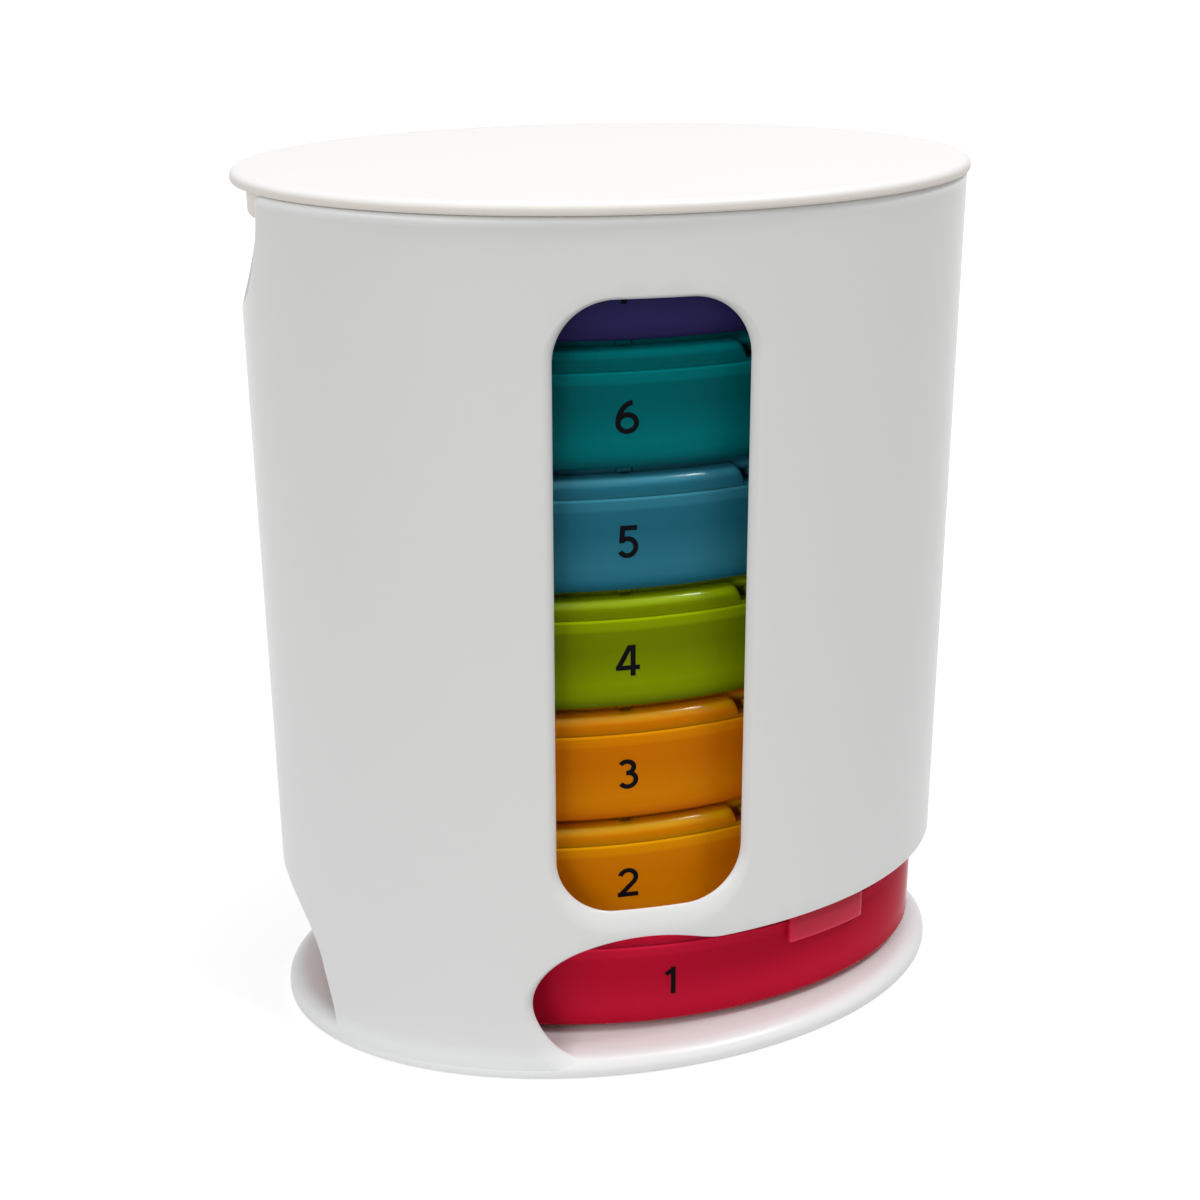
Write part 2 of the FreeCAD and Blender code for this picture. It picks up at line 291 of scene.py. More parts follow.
@dataclass(frozen=True)
class Figures:
    """Plain figures 1 to 7 drawn with strokes of one width, in shares of the figures' height."""

    half: float = 0.075
    step: float = 0.2

    def slanted(self, low: tuple[float, float], high: tuple[float, float]) -> np.ndarray:
        """A straight stroke whose two ends are level.

        Args:
            low: the lower end of its middle line.
            high: the upper end of its middle line.

        Returns:
            Its closed outline.
        """
        reach = self.half * math.hypot(1.0, (high[0] - low[0]) / (high[1] - low[1]))
        return self.finely(np.array([(low[0] - reach, low[1]), (low[0] + reach, low[1]),
                                     (high[0] + reach, high[1]), (high[0] - reach, high[1])]))

    def level(self, start: float, end: float, z: float) -> np.ndarray:
        """A level stroke from start to end, with its middle at z."""
        return self.finely(np.array([(start, z - self.half), (end, z - self.half), (end, z + self.half),
                                     (start, z + self.half)]))

    def finely(self, corners: np.ndarray) -> np.ndarray:
        """Cut a closed outline's sides into short steps, so that it can follow a curved face.

        Args:
            corners: the outline's corners.

        Returns:
            The outline's points.
        """
        sides = [np.linspace(a, b, max(2, math.ceil(float(np.linalg.norm(b - a)) / self.step) + 1))[:-1]
                 for a, b in zip(corners, np.roll(corners, -1, axis=0))]
        return np.concatenate(sides)

    def ribbon(self, path: np.ndarray) -> np.ndarray:
        """The outline of a stroke along a curve: the curve moved to its left, and back on its right.

        Args:
            path: the stroke's middle line.

        Returns:
            Its closed outline.
        """
        tangent = np.gradient(path, axis=0)
        tangent /= np.linalg.norm(tangent, axis=1, keepdims=True)
        side = self.half * np.stack([-tangent[:, 1], tangent[:, 0]], 1)
        return np.concatenate([path - side, (path + side)[::-1]])

    def bowl(self, centre: tuple[float, float], radii: tuple[float, float], start: float,
             end: float) -> np.ndarray:
        """Points of an elliptic arc, its angles in degrees."""
        return arc((0.0, 0.0), 1.0, start, end, 28) * np.array(radii) + np.array(centre)

    def strokes(self, figure: int) -> tuple[float, list[np.ndarray]]:
        """A figure's width and its strokes.

        Args:
            figure: the number, from 1 to 7.

        Returns:
            The width, and the closed outlines of the strokes.
        """
        h, top = self.half, 1.0 - self.half
        w = (0.36, 0.64, 0.64, 0.74, 0.64, 0.68, 0.62)[figure - 1]
        mid = 0.5 * w
        if figure == 1:
            found = [self.slanted((w - h, 0.0), (w - h, 1.0)),
                     self.ribbon(np.array([(0.04, 0.74), (w - h, 0.91)]))]
        elif figure == 2:
            crown = self.bowl((mid, 0.68), (mid - h, top - 0.68), 165.0, -38.0)
            found = [self.ribbon(np.concatenate([crown, [(1.3 * h, 1.2 * h)]])), self.level(0.0, w, h)]
        elif figure == 3:
            found = [self.ribbon(self.bowl((0.9 * mid, 0.73), (0.9 * mid - h, top - 0.73), 150.0, -95.0)),
                     self.ribbon(self.bowl((mid, 0.31), (mid - h, 0.31 - h), 95.0, -150.0))]
        elif figure == 4:
            found = [self.slanted((1.2 * h, 0.27), (0.62 * w, 1.0)), self.level(0.3 * h, w, 0.27),
                     self.slanted((0.72 * w, 0.0), (0.72 * w, 1.0))]
        elif figure == 5:
            found = [self.level(1.5 * h, w - 0.5 * h, top), self.slanted((2.0 * h, 0.47), (2.5 * h, 1.0)),
                     self.ribbon(self.bowl((mid, 0.335), (mid - h, 0.335 - h), 133.0, -150.0))]
        elif figure == 6:
            found = [self.ribbon(self.bowl((mid, 0.32), (mid - h, 0.32 - h), first, first + 190.0))
                     for first in (-5.0, 175.0)]
            found += [self.ribbon(self.bowl((0.8 * w, 0.32), (0.8 * w - h, top - 0.32), 180.0, 96.0))]
        else:
            found = [self.level(0.0, w, top), self.slanted((0.34 * w, 0.0), (w - 1.2 * h, 1.0))]
        return w, found


# ---------------------------------------------------------------- meshes

class Shape:
    """Points and faces that are gathered from several surfaces and then made one mesh."""

    def __init__(self) -> None:
        """Start with nothing in it."""
        self.points: list[np.ndarray] = []
        self.faces: list[np.ndarray] = []
        self.count = 0

    def add(self, points: np.ndarray, faces: np.ndarray) -> None:
        """Add a surface.

        Args:
            points: its points.
            faces: its faces, which number those points from zero.
        """
        self.points.append(points.reshape(-1, 3))
        self.faces.append(faces + self.count)
        self.count += len(self.points[-1])

    def add_grid(self, grid: np.ndarray, ring_rows: bool = False, ring_columns: bool = False) -> None:
        """Add a rows x columns x 3 grid as quads, closed round either way where asked.

        Args:
            grid: the points.
            ring_rows: the last row joins the first.
            ring_columns: the last column joins the first.
        """
        rows, columns = grid.shape[:2]
        i, j = np.meshgrid(np.arange(rows if ring_rows else rows - 1),
                           np.arange(columns if ring_columns else columns - 1), indexing="ij")
        below, beside = (i + 1) % rows, (j + 1) % columns
        quads = np.stack([i * columns + j, i * columns + beside, below * columns + beside,
                          below * columns + j], -1)
        self.add(grid, quads.reshape(-1, 4))

    def add_fan(self, ring: np.ndarray, hub: np.ndarray) -> None:
        """Close a ring of points with triangles that meet at a hub.

        Args:
            ring: the ring's points.
            hub: the point where the triangles meet.
        """
        count = len(ring)
        j = np.arange(count)
        fan = np.stack([j, (j + 1) % count, np.full(count, count)], 1)
        self.add(np.concatenate([ring, hub[None, :]]), fan)

    def add_turned(self, grid: np.ndarray, low_hub: np.ndarray, high_hub: np.ndarray) -> None:
        """Add a grid whose columns run round, and close it at both ends.

        Args:
            grid: the points.
            low_hub: where the first row's fan meets.
            high_hub: where the last row's fan meets.
        """
        self.add_grid(grid, ring_columns=True)
        self.add_fan(grid[0], low_hub)
        self.add_fan(grid[-1], high_hub)

    def make(self, name: str, sharp_degrees: float = 38.0) -> bpy.types.Object:
        """Make the object: doubles merged, normals outwards, smooth but for its sharp edges.

        Args:
            name: the object's name.
            sharp_degrees: edges that turn by more than this stay sharp.

        Returns:
            The new object, at the origin.
        """
        mesh = bpy.data.meshes.new(name)
        faces = [face for part in self.faces for face in part.tolist()]
        mesh.from_pydata(np.concatenate(self.points).tolist(), [], faces)
        work = bmesh.new()
        work.from_mesh(mesh)
        bmesh.ops.remove_doubles(work, verts=work.verts, dist=0.002 * MM)
        bmesh.ops.dissolve_degenerate(work, edges=work.edges, dist=0.001 * MM)
        bmesh.ops.recalc_face_normals(work, faces=work.faces)
        work.to_mesh(mesh)
        work.free()
        mesh.polygons.foreach_set("use_smooth", np.ones(len(mesh.polygons), bool))
        mesh.set_sharp_from_angle(angle=math.radians(sharp_degrees))
        piece = bpy.data.objects.new(name, mesh)
        bpy.context.scene.collection.objects.link(piece)
        return piece


def plate_rings(outline: np.ndarray, low: float, high: float, edge: float, steps: int) -> np.ndarray:
    """Rings up the side of a flat plate whose lower and upper edges are rounded.

    At the lower edge a ring is the outline moved inwards by edge * (1 - sin) at a height of
    edge * (1 - cos); the upper edge is its mirror image.

    Args:
        outline: anticlockwise outline in X and Y.
        low: underside.
        high: top.
        edge: radius of the rounded edges.
        steps: faces across each rounding.

    Returns:
        A rings x points x 3 grid.
    """
    fall, rise = quarter_turn(steps)
    inset = edge * np.concatenate([fall, rise])
    level = np.concatenate([low + edge * rise, high - edge * fall])
    flat = outline[None] + inset[:, None, None] * left_normals(outline)[None]
    return np.concatenate([flat, np.broadcast_to(level[:, None, None], flat.shape[:2] + (1,))], 2)


def slab(shape: Shape, outline: np.ndarray, low: float, high: float, edge: float, steps: int = 3) -> None:
    """Add a flat plate over a convex outline, with its faces as fans.

    Args:
        shape: where the plate goes.
        outline: anticlockwise outline in X and Y.
        low: underside.
        high: top.
        edge: radius of the rounded edges.
        steps: faces across each rounding.
    """
    middle = outline.mean(axis=0)
    rings = plate_rings(outline, low, high, edge, steps)
    shape.add_turned(rings, np.append(middle, low), np.append(middle, high))


def notched_slab(shape: Shape, outline: np.ndarray, low: float, high: float, edge: float = 0.3 * MM) -> None:
    """Add a flat plate over an outline that may have notches, with its faces triangulated.

    Args:
        shape: where the plate goes.
        outline: anticlockwise outline in X and Y.
        low: underside.
        high: top.
        edge: radius of the rounded edges.
    """
    rings = plate_rings(outline, low, high, edge, 3)
    shape.add_grid(rings, ring_columns=True)
    _, triangles = triangulate([rings[0, :, :2]], NO_POINTS, MM, 1e-6, True)
    for ring in (rings[0], rings[-1]):
        shape.add(ring, triangles)


def box_outline(x: tuple[float, float], y: tuple[float, float], radius: float) -> np.ndarray:
    """The anticlockwise outline of a rectangle with rounded corners."""
    corners = np.array([(x[0], y[0]), (x[1], y[0]), (x[1], y[1]), (x[0], y[1])])
    return round_corners(corners, [radius] * 4, 4)


@dataclass(frozen=True)
class Oval:
    """An upright oval: half-lengths a and b along X and Y, and the place of its centre along X."""

    a: float
    b: float
    x: float = 0.0

    def at(self, angle: np.ndarray, inset: np.ndarray, z: np.ndarray) -> np.ndarray:
        """Points at ((a - inset) cos, (b - inset) sin, z), over arrays that broadcast together."""
        angle, inset, z = np.broadcast_arrays(angle, inset, z)
        return np.stack([self.x + (self.a - inset) * np.cos(angle), (self.b - inset) * np.sin(angle), z], -1)

    def turned(self, shape: Shape, profile: np.ndarray, columns: int = 240) -> None:
        """Carry a profile round the oval and close it at both ends with fans.

        Args:
            shape: where the surface goes.
            profile: rows of (inset, z), from the lower pole's ring to the upper one's.
            columns: points round the oval.
        """
        angle = np.linspace(0.0, TURN, columns, endpoint=False)
        grid = self.at(angle[None], profile[:, 0:1], profile[:, 1:2])
        hubs = [np.array([self.x, 0.0, level]) for level in (profile[0, 1], profile[-1, 1])]
        shape.add_turned(grid, *hubs)

    def angles_from_x(self, x: np.ndarray, front: bool) -> np.ndarray:
        """Angles of the points at x on the front or the back half."""
        angle = np.arccos(np.clip(x / self.a, -1.0, 1.0))
        return TURN - angle if front else angle


# ---------------------------------------------------------------- finishes

COAT_ROUGHNESS = 0.06
BUMP_REACH = 0.2 * MM


def node(tree: bpy.types.NodeTree, kind: str, **values: object) -> bpy.types.Node:
    """Add a node.

    Args:
        tree: where it goes.
        kind: its type.
        values: what is set on it. A key in small letters is a property, and another one is an input's
            name with its blanks as underscores.

    Returns:
        The node.
    """
    made = tree.nodes.new(kind)
    for key, value in values.items():
        if key.islower():
            setattr(made, key, value)
        else:
            made.inputs[key.replace("_", " ")].default_value = value
    return made


@dataclass(frozen=True)
class Plastic:
    """A moulded plastic with faint mottling and orange peel.

    Its colour lies between a deep and a bright one. The mottling says where, and so does the height through
    its stops, which paint light and shade into the colour: painted shade, painted glow and painted
    highlights.

    Fields: deep and bright colour; stops of painted light and shade, as (height above the box's base in mm,
    share of the bright colour); how much the mottling shifts that share; roughness and strength of the gloss;
    clear coat; how much and how deep light creeps into it; its ripples; and, where the gloss changes with
    height, stops of (height above the base in mm, strength of the gloss).
    """

    deep: tuple[float, float, float]
    bright: tuple[float, float, float]
    stops: tuple[tuple[float, float], ...] = ((0.0, 0.0), (1.0, 0.0))
    mottle: float = 1.0
    mottle_scale: float = 35.0
    roughness: float = 0.3
    gloss: float = 0.5
    coat: float = 0.0
    creep: float = 0.0
    creep_depth: float = 1.5 * MM
    ripple_scale: float = 260.0
    ripple_height: float = 0.02
    shine: tuple[tuple[float, float], ...] = ()

    def material(self, name: str, base: float = 0.0) -> bpy.types.Material:
        """Build the node material.

        The share of the bright colour is the ramp's value at the height, which paints light and shade, plus
        the mottling's cloud times its strength.

        Args:
            name: the material's name.
            base: height from which the stops are measured.

        Returns:
            The material.
        """
        made = bpy.data.materials.new(name)
        made.use_nodes = True
        tree = made.node_tree
        shader = tree.nodes["Principled BSDF"]
        fixed = {"Roughness": self.roughness, "Specular IOR Level": self.gloss, "Coat Weight": self.coat,
                 "Coat Roughness": COAT_ROUGHNESS, "Subsurface Weight": self.creep,
                 "Subsurface Radius": (1.0, 1.0, 1.0), "Subsurface Scale": self.creep_depth}
        for socket, value in fixed.items():
            shader.inputs[socket].default_value = value
        link = tree.links.new
        place = tree.nodes.new("ShaderNodeTexCoord").outputs["Object"]
        cloud = node(tree, "ShaderNodeTexNoise", Scale=self.mottle_scale, Detail=3.0)
        split = tree.nodes.new("ShaderNodeSeparateXYZ")
        share = node(tree, "ShaderNodeMath", operation="MULTIPLY_ADD")
        share.inputs[1].default_value = self.mottle
        tint = node(tree, "ShaderNodeMix", data_type="RGBA", A=(*self.deep, 1.0), B=(*self.bright, 1.0))
        ripple = node(tree, "ShaderNodeTexNoise", Scale=self.ripple_scale, Detail=2.0)
        bump = node(tree, "ShaderNodeBump", Strength=self.ripple_height, Distance=BUMP_REACH)
        for texture in (cloud, ripple):
            link(place, texture.inputs["Vector"])
        link(place, split.inputs[0])
        link(cloud.outputs["Fac"], share.inputs[0])
        height = split.outputs["Z"]
        link(self.by_height(tree, height, base, self.stops), share.inputs[2])
        link(share.outputs[0], tint.inputs["Factor"])
        link(tint.outputs["Result"], shader.inputs["Base Color"])
        if self.shine:
            link(self.by_height(tree, height, base, self.shine), shader.inputs["Specular IOR Level"])
        link(ripple.outputs["Fac"], bump.inputs["Height"])
        link(bump.outputs["Normal"], shader.inputs["Normal"])
        return made

    def by_height(self, tree: bpy.types.NodeTree, z: bpy.types.NodeSocket, base: float,
                  stops: tuple[tuple[float, float], ...]) -> bpy.types.NodeSocket:
        """A value that runs straight from stop to stop with the height above a base.

        Args:
            tree: the material's nodes.
            z: the height.
            base: height from which the stops are measured.
            stops: rows of (height in mm, value).

        Returns:
            The value's socket.
        """
        (low, _), (high, _) = stops[0], stops[-1]
        height = node(tree, "ShaderNodeMapRange", From_Min=base + low * MM, From_Max=base + high * MM)
        ramp = tree.nodes.new("ShaderNodeValToRGB")
        marks = ramp.color_ramp.elements
        for at, _ in stops[1:-1]:
            marks.new((at - low) / (high - low))
        for mark, (_, value) in zip(marks, stops):
            mark.color = (value, value, value, 1.0)
        tree.links.new(z, height.inputs["Value"])
        tree.links.new(height.outputs[0], ramp.inputs[0])
        return ramp.outputs["Color"]


# Painted light and shade on a tray, by height above its base in mm: painted shade at the foot, painted bounce
# light on the lower body, darker in the middle, a painted glow band under the seam and a painted highlight on
# the lip.
TRAY_PAINTED_LIGHT_STOPS = ((0.7, 0.0), (1.8, 0.05), (3.6, 0.40), (5.6, 0.48), (11.5, 0.22), (14.9, 0.24), (15.4, 0.5),
              (16.6, 0.55), (16.8, 0.9), (17.1, 0.9))
# Painted light and shade on a cover and its flaps, by height above the tray's base in mm: a steady share
# below the seam where the tabs hang, a darker band just over the seam, a painted highlight band along the
# rim's crest, and painted shade on the rim's top and above it, under the box above.
COVER_PAINTED_LIGHT_STOPS = ((13.0, 0.6), (17.0, 0.6), (17.15, 0.4), (17.8, 0.22), (18.9, 0.25), (19.5, 0.7), (20.0, 1.0),
               (20.35, 0.4), (20.7, 0.25), (21.4, 0.15))


def tinted(deep: tuple[float, float, float], bright: tuple[float, float, float]) -> Plastic:
    """The tinted plastic of a day tray in one colour, with the tray's painted light and shade by height."""
    return Plastic(deep, bright, stops=TRAY_PAINTED_LIGHT_STOPS, mottle=0.12, roughness=0.12, gloss=0.02, creep=0.3,
                   creep_depth=2.0 * MM, ripple_scale=900.0, ripple_height=0.03, mottle_scale=60.0)


def polished(tray: Plastic, *shine: tuple[float, float]) -> Plastic:
    """The same plastic on a cover or a flap, with its own bands of gloss and of painted light and shade.

    Args:
        tray: the tray's finish.
        shine: stops of (height above the base in mm, strength of the gloss).

    Returns:
        The new finish.
    """
    # A brighter colour for the painted highlight band along the rim's crest.
    bright = tuple(min(0.95, 1.2 * part) for part in tray.bright)
    return replace(tray, bright=bright, stops=COVER_PAINTED_LIGHT_STOPS, roughness=0.15, creep=0.9, creep_depth=4.0 * MM,
                   shine=shine)


# Painted light and shade on the housing, by height in mm: the foot and floor painted bright as if lit from
# above, the wall painted lighter at the bottom and darker towards the top, darkest in a painted shade band
# under the lid, and a painted highlight along the shell's top edge.
SHELL_WHITE = Plastic((0.755, 0.75, 0.735), (0.925, 0.94, 0.945), mottle=0.05, roughness=0.3, gloss=0.4,
                      coat=0.1, stops=((0.0, 0.9), (4.2, 0.95), (6.5, 0.5), (60.0, 0.33), (150.6, 0.02),
                                       (151.2, 0.95), (152.0, 1.0)))
# Painted shade on the lid, by height above its underside in mm: its lower edge and underside a darker warm
# grey, its upper part bright.
LID_WHITE = Plastic((0.80, 0.745, 0.69), (0.895, 0.885, 0.87), mottle=0.1, roughness=0.42, gloss=0.3,
                    stops=((0.0, 0.0), (0.9, 0.0), (1.6, 0.85), (2.3, 0.9)))
LABEL_INK = Plastic((0.006, 0.006, 0.008), (0.01, 0.01, 0.012), roughness=0.5, gloss=0.0)


class Day(Enum):
    """A day's box: its number in the week, its material slot and its finish."""

    MONDAY = (1, "red_plastic", tinted((0.46, 0.003, 0.02), (0.74, 0.014, 0.06)))
    TUESDAY = (2, "amber_plastic", tinted((0.58, 0.13, 0.0), (0.88, 0.38, 0.001)))
    WEDNESDAY = (3, "orange_plastic", tinted((0.55, 0.12, 0.0), (0.86, 0.32, 0.001)))
    THURSDAY = (4, "green_plastic", tinted((0.09, 0.12, 0.0), (0.37, 0.50, 0.0)))
    FRIDAY = (5, "blue_plastic", tinted((0.002, 0.09, 0.14), (0.05, 0.28, 0.38)))
    SATURDAY = (6, "teal_plastic", tinted((0.0, 0.07, 0.085), (0.0, 0.27, 0.28)))
    SUNDAY = (7, "purple_plastic", tinted((0.02, 0.015, 0.08), (0.05, 0.045, 0.20)))

    def __init__(self, number: int, slot: str, finish: Plastic) -> None:
        """Keep the fields of the value by name.

        Args:
            number: the day's place in the week, from 1 on Monday.
            slot: its material slot.
            finish: its tray's finish.
        """
        self.number = number
        self.slot = slot
        self.finish = finish

    @property
    def key(self) -> str:
        """The day's name as the nodes and bodies spell it."""
        return self.name.lower()


def dress(piece: bpy.types.Object, material: bpy.types.Material, body: str, slot: str, *nodes: str) -> None:
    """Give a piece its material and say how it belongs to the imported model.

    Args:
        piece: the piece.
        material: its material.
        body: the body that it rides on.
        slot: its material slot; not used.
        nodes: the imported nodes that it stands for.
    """
    piece.data.materials.append(material)
    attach(piece, body)
    if nodes:
        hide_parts(*nodes)
    log.info("%s: %d faces on %s", piece.name, len(piece.data.polygons), body)


# ---------------------------------------------------------------- housing

@dataclass
class Housing:
    """The white housing: an oval foot and floor, and a shell with a window, an exit, an arch and a notch."""

    wall: float = 1.7 * MM
    shell_inset: float = 0.4 * MM
    front_inset: float = 0.45 * MM
    floor_top: float = 3.7 * MM
    floor_rings: tuple[float, float] = (6.0 * MM, 20.0 * MM)
    foot_top_r: tuple[float, float] = (3.2 * MM, 2.2 * MM)
    foot_low_r: float = 0.8 * MM
    root_z: float = 1.0 * MM
    root_sink: float = 0.08
    flare_low: float = 2.0 * MM
    flare_high: float = 9.0 * MM
    edge_depth: float = 1.45 * MM
    edge_side: float = 1.3 * MM
    sill_extra: float = 2.5 * MM
    lintel_less: float = 0.5 * MM
    brim_depth: float = 0.7 * MM
    brim_less: float = 0.5 * MM
    edge_fullness: float = 1.6
    edge_least: float = 0.1 * MM
    edge_room: float = 0.85
    inner_edge_r: float = 0.2 * MM
    inner_edge_share: float = 0.3
    window_corners: tuple[tuple[float, float], ...] = (
        (-16.3, 32.6), (16.3, 32.6), (16.3, 139.2), (-15.6, 139.2),
    )
    window_r: float = 10.0 * MM
    exit_top: float = 25.1 * MM
    exit_back_x: float = 15.0 * MM
    exit_back_r: float = 5.0 * MM
    exit_curve: tuple[tuple[float, float], ...] = (
        (6.0, 1.2), (0.0, 1.5), (-6.0, 2.0), (-11.5, 2.9), (-15.8, 4.9), (-18.9, 8.6), (-20.8, 15.0),
        (-17.1, 21.9), (-9.0, 26.2), (-1.0, 27.35), (6.4, 26.4), (11.7, 25.1),
    )
    arch_r: float = 16.0 * MM
    arch_z: float = 12.0 * MM
    arch_spring: float = 14.0 * MM
    arch_foot: float = 18.2 * MM
    notch_half: float = 12.0 * MM
    notch_depth: float = 20.0 * MM
    lower_spread: float = 0.9 * MM
    upper_spread: float = 1.1 * MM
    loop_step: float = 0.8 * MM
    mesh_step: float = 2.2 * MM
    least_gap: float = 0.45
    table_size: int = 8001

    def __post_init__(self) -> None:
        """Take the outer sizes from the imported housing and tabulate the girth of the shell's oval."""
        low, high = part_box("housing")
        self.foot = Oval(0.5 * (high.x - low.x), 0.5 * (high.y - low.y))
        self.shell = Oval(self.foot.a - self.shell_inset, self.foot.b - self.front_inset)
        self.top = high.z
        self.angle = np.linspace(0.0, TURN, self.table_size)
        rate = np.hypot(self.shell.a * np.sin(self.angle), self.shell.b * np.cos(self.angle))
        steps = 0.5 * (rate[1:] + rate[:-1]) * np.diff(self.angle)
        self.length = np.concatenate([[0.0], np.cumsum(steps)])
        self.girth = float(self.length[-1])

    def along(self, angle: np.ndarray | float) -> np.ndarray:
        """The distance round the shell at an angle."""
        return np.interp(angle, self.angle, self.length)

    def wall_point(self, along: np.ndarray, z: np.ndarray, depth: np.ndarray) -> np.ndarray:
        """Points of the wall.

        Near the floor the outer face swings out smoothly, by a cubic step, to meet the foot, and its
        root sinks into the foot.

        Args:
            along: distances round the shell.
            z: heights.
            depth: depths below the outer face.

        Returns:
            The points.
        """
        angle = np.interp(np.mod(along, self.girth), self.length, self.angle)
        rise = np.clip((z - self.flare_low) / (self.flare_high - self.flare_low), 0.0, 1.0)
        flare = self.shell_inset * (1.0 - rise * rise * (3.0 - 2.0 * rise))
        flare = flare - self.root_sink * np.clip(self.flare_low - z, 0.0, MM)
        outer = np.clip(1.0 - depth / self.wall, 0.0, 1.0)
        return self.shell.at(angle, depth - flare * outer, z)

    def from_front(self, points: np.ndarray) -> np.ndarray:
        """Turn (x, z) on the front half into (distance round, z)."""
        return np.stack([self.along(self.shell.angles_from_x(points[:, 0], True)), points[:, 1]], 1)

    def from_left(self, points: np.ndarray) -> np.ndarray:
        """Turn (y, z) at the left end into (distance round, z): the angle there is pi - arcsin(y / b)."""
        angle = math.pi - np.arcsin(np.clip(points[:, 0] / self.shell.b, -1.0, 1.0))
        return np.stack([self.along(angle), points[:, 1]], 1)

    def window_loop(self) -> np.ndarray:
        """The window's edge: an upright rectangle with round corners, a little skewed at the top.

        Returns:
            Evenly spaced points in (distance round, z), anticlockwise.
        """
        outline = round_corners(np.array(self.window_corners) * MM, [self.window_r] * 4, 24)
        outline = resample(outline, self.loop_step, 0.0)
        return resample(self.from_front(outline), self.loop_step, 0.0)

    def lower_loop(self) -> np.ndarray:
        """The shell's lower edge: the exit opening, the arch, and the roots hidden in the floor.

        Returns:
            Evenly spaced points in (distance round, z), once round from the right end.
        """
        back = float(self.along(self.shell.angles_from_x(np.array([self.exit_back_x]), False))[0])
        curve = np.array(self.exit_curve) * MM
        exit_edge = self.from_front(spline_through(curve, (-1.0, 0.1), (1.0, -0.15), 180))
        half = math.sqrt(self.arch_r ** 2 - (self.arch_spring - self.arch_z) ** 2)
        tilt = math.degrees(math.asin((self.arch_spring - self.arch_z) / self.arch_r))
        head = arc((0.0, self.arch_z), self.arch_r, tilt, 180.0 - tilt, 80)
        legs = np.array([(self.arch_foot, self.floor_top), (half, self.arch_spring)])
        arch = self.from_left(np.concatenate([legs, head, legs[::-1] * np.array([-1.0, 1.0])]))
        turn = self.exit_back_r
        corner = arc((back - turn, self.exit_top - turn), turn, 90.0, 0.0, 16)
        path = np.concatenate([
            [(0.0, self.exit_top)], corner, [(back, self.root_z), (arch[0, 0], self.root_z)], arch,
            [(arch[-1, 0], self.root_z), (exit_edge[0, 0], self.root_z)], exit_edge,
        ])
        loop = resample(path, self.loop_step, self.girth)
        return soften(loop, self.lower_spread, self.loop_step, self.girth)

    def upper_loop(self) -> np.ndarray:
        """The shell's upper edge, with the notch: the lower half of an upright oval.

        Returns:
            Evenly spaced points in (distance round, z), once round from the right end.
        """
        phi = np.linspace(0.0, math.pi, 60)
        notch = np.stack([self.notch_half * np.cos(phi), self.top - self.notch_depth * np.sin(phi)], 1)
        path = np.concatenate([[(0.0, self.top)], self.from_left(notch)])
        loop = resample(path, self.loop_step, self.girth)
        return soften(loop, self.upper_spread, self.loop_step, self.girth)

    def edge_profile(self, edge_depth: float) -> np.ndarray:
        """The section of an opening's edge: round the outer corner, through the wall, and in again.

        The corner is a superellipse: |across|^n + |deep|^n = 1, where n is its fullness.

        Args:
            edge_depth: how deep the outer corner's rounding goes.

        Returns:
            Rows of (share of the rounding's width, depth).
        """
        phi = np.linspace(0.0, 0.5 * math.pi, 13)
        power = 2.0 / self.edge_fullness
        deep = 1.0 - np.clip(np.cos(phi), 0.0, 1.0) ** power
        outer = np.stack([1.0 - np.sin(phi) ** power, edge_depth * deep], 1)
        fall, rise = quarter_turn(3)
        inner = np.stack([self.inner_edge_share * rise, self.wall - self.inner_edge_r * fall], 1)
        return np.concatenate([outer, inner, [(1.0, self.wall)]])

    def edge_width(self, loop: np.ndarray, into: np.ndarray, sill_extra: float) -> np.ndarray:
        """How wide the rounding is along a loop: the side's width, changed by the square of up or down.

        Up is the rise of the direction into the wall, so that a sill is wide and a lintel is narrow. The
        rounding never reaches down past the wall's root, which is hidden in the foot.

        Args:
            loop: the opening's edge in (distance round, z).
            into: directions from the edge into the wall.
            sill_extra: what is added to the width where the edge looks up.

        Returns:
            One width for each point.
        """
        up = into[:, 1]
        wide = self.edge_side + sill_extra * np.clip(-up, 0.0, 1.0) ** 2
        wide -= self.lintel_less * np.clip(up, 0.0, 1.0) ** 2
        room = (loop[:, 1] - self.root_z) / np.clip(-up, 0.1, 1.0)
        return np.clip(np.minimum(wide, self.edge_room * room), self.edge_least, None)

    def unroll(self, points: np.ndarray) -> np.ndarray:
        """Map (distance round, z) to a ring in the plane: radius = exp(z), turn = distance.

        Args:
            points: rows of (distance round, z).

        Returns:
            Points of the plane, with all angles kept.
        """
        scale = TURN / self.girth
        radius = np.exp(points[:, 1] * scale)
        return np.stack([radius * np.cos(points[:, 0] * scale), radius * np.sin(points[:, 0] * scale)], 1)

    def roll_up(self, plane: np.ndarray) -> np.ndarray:
        """Undo unroll: distance round from the turn, z from the logarithm of the radius.

        Args:
            plane: points of the plane.

        Returns:
            Rows of (distance round, z).
        """
        scale = self.girth / TURN
        return np.stack([np.arctan2(plane[:, 1], plane[:, 0]) * scale,
                         np.log(np.hypot(plane[:, 0], plane[:, 1])) * scale], 1)

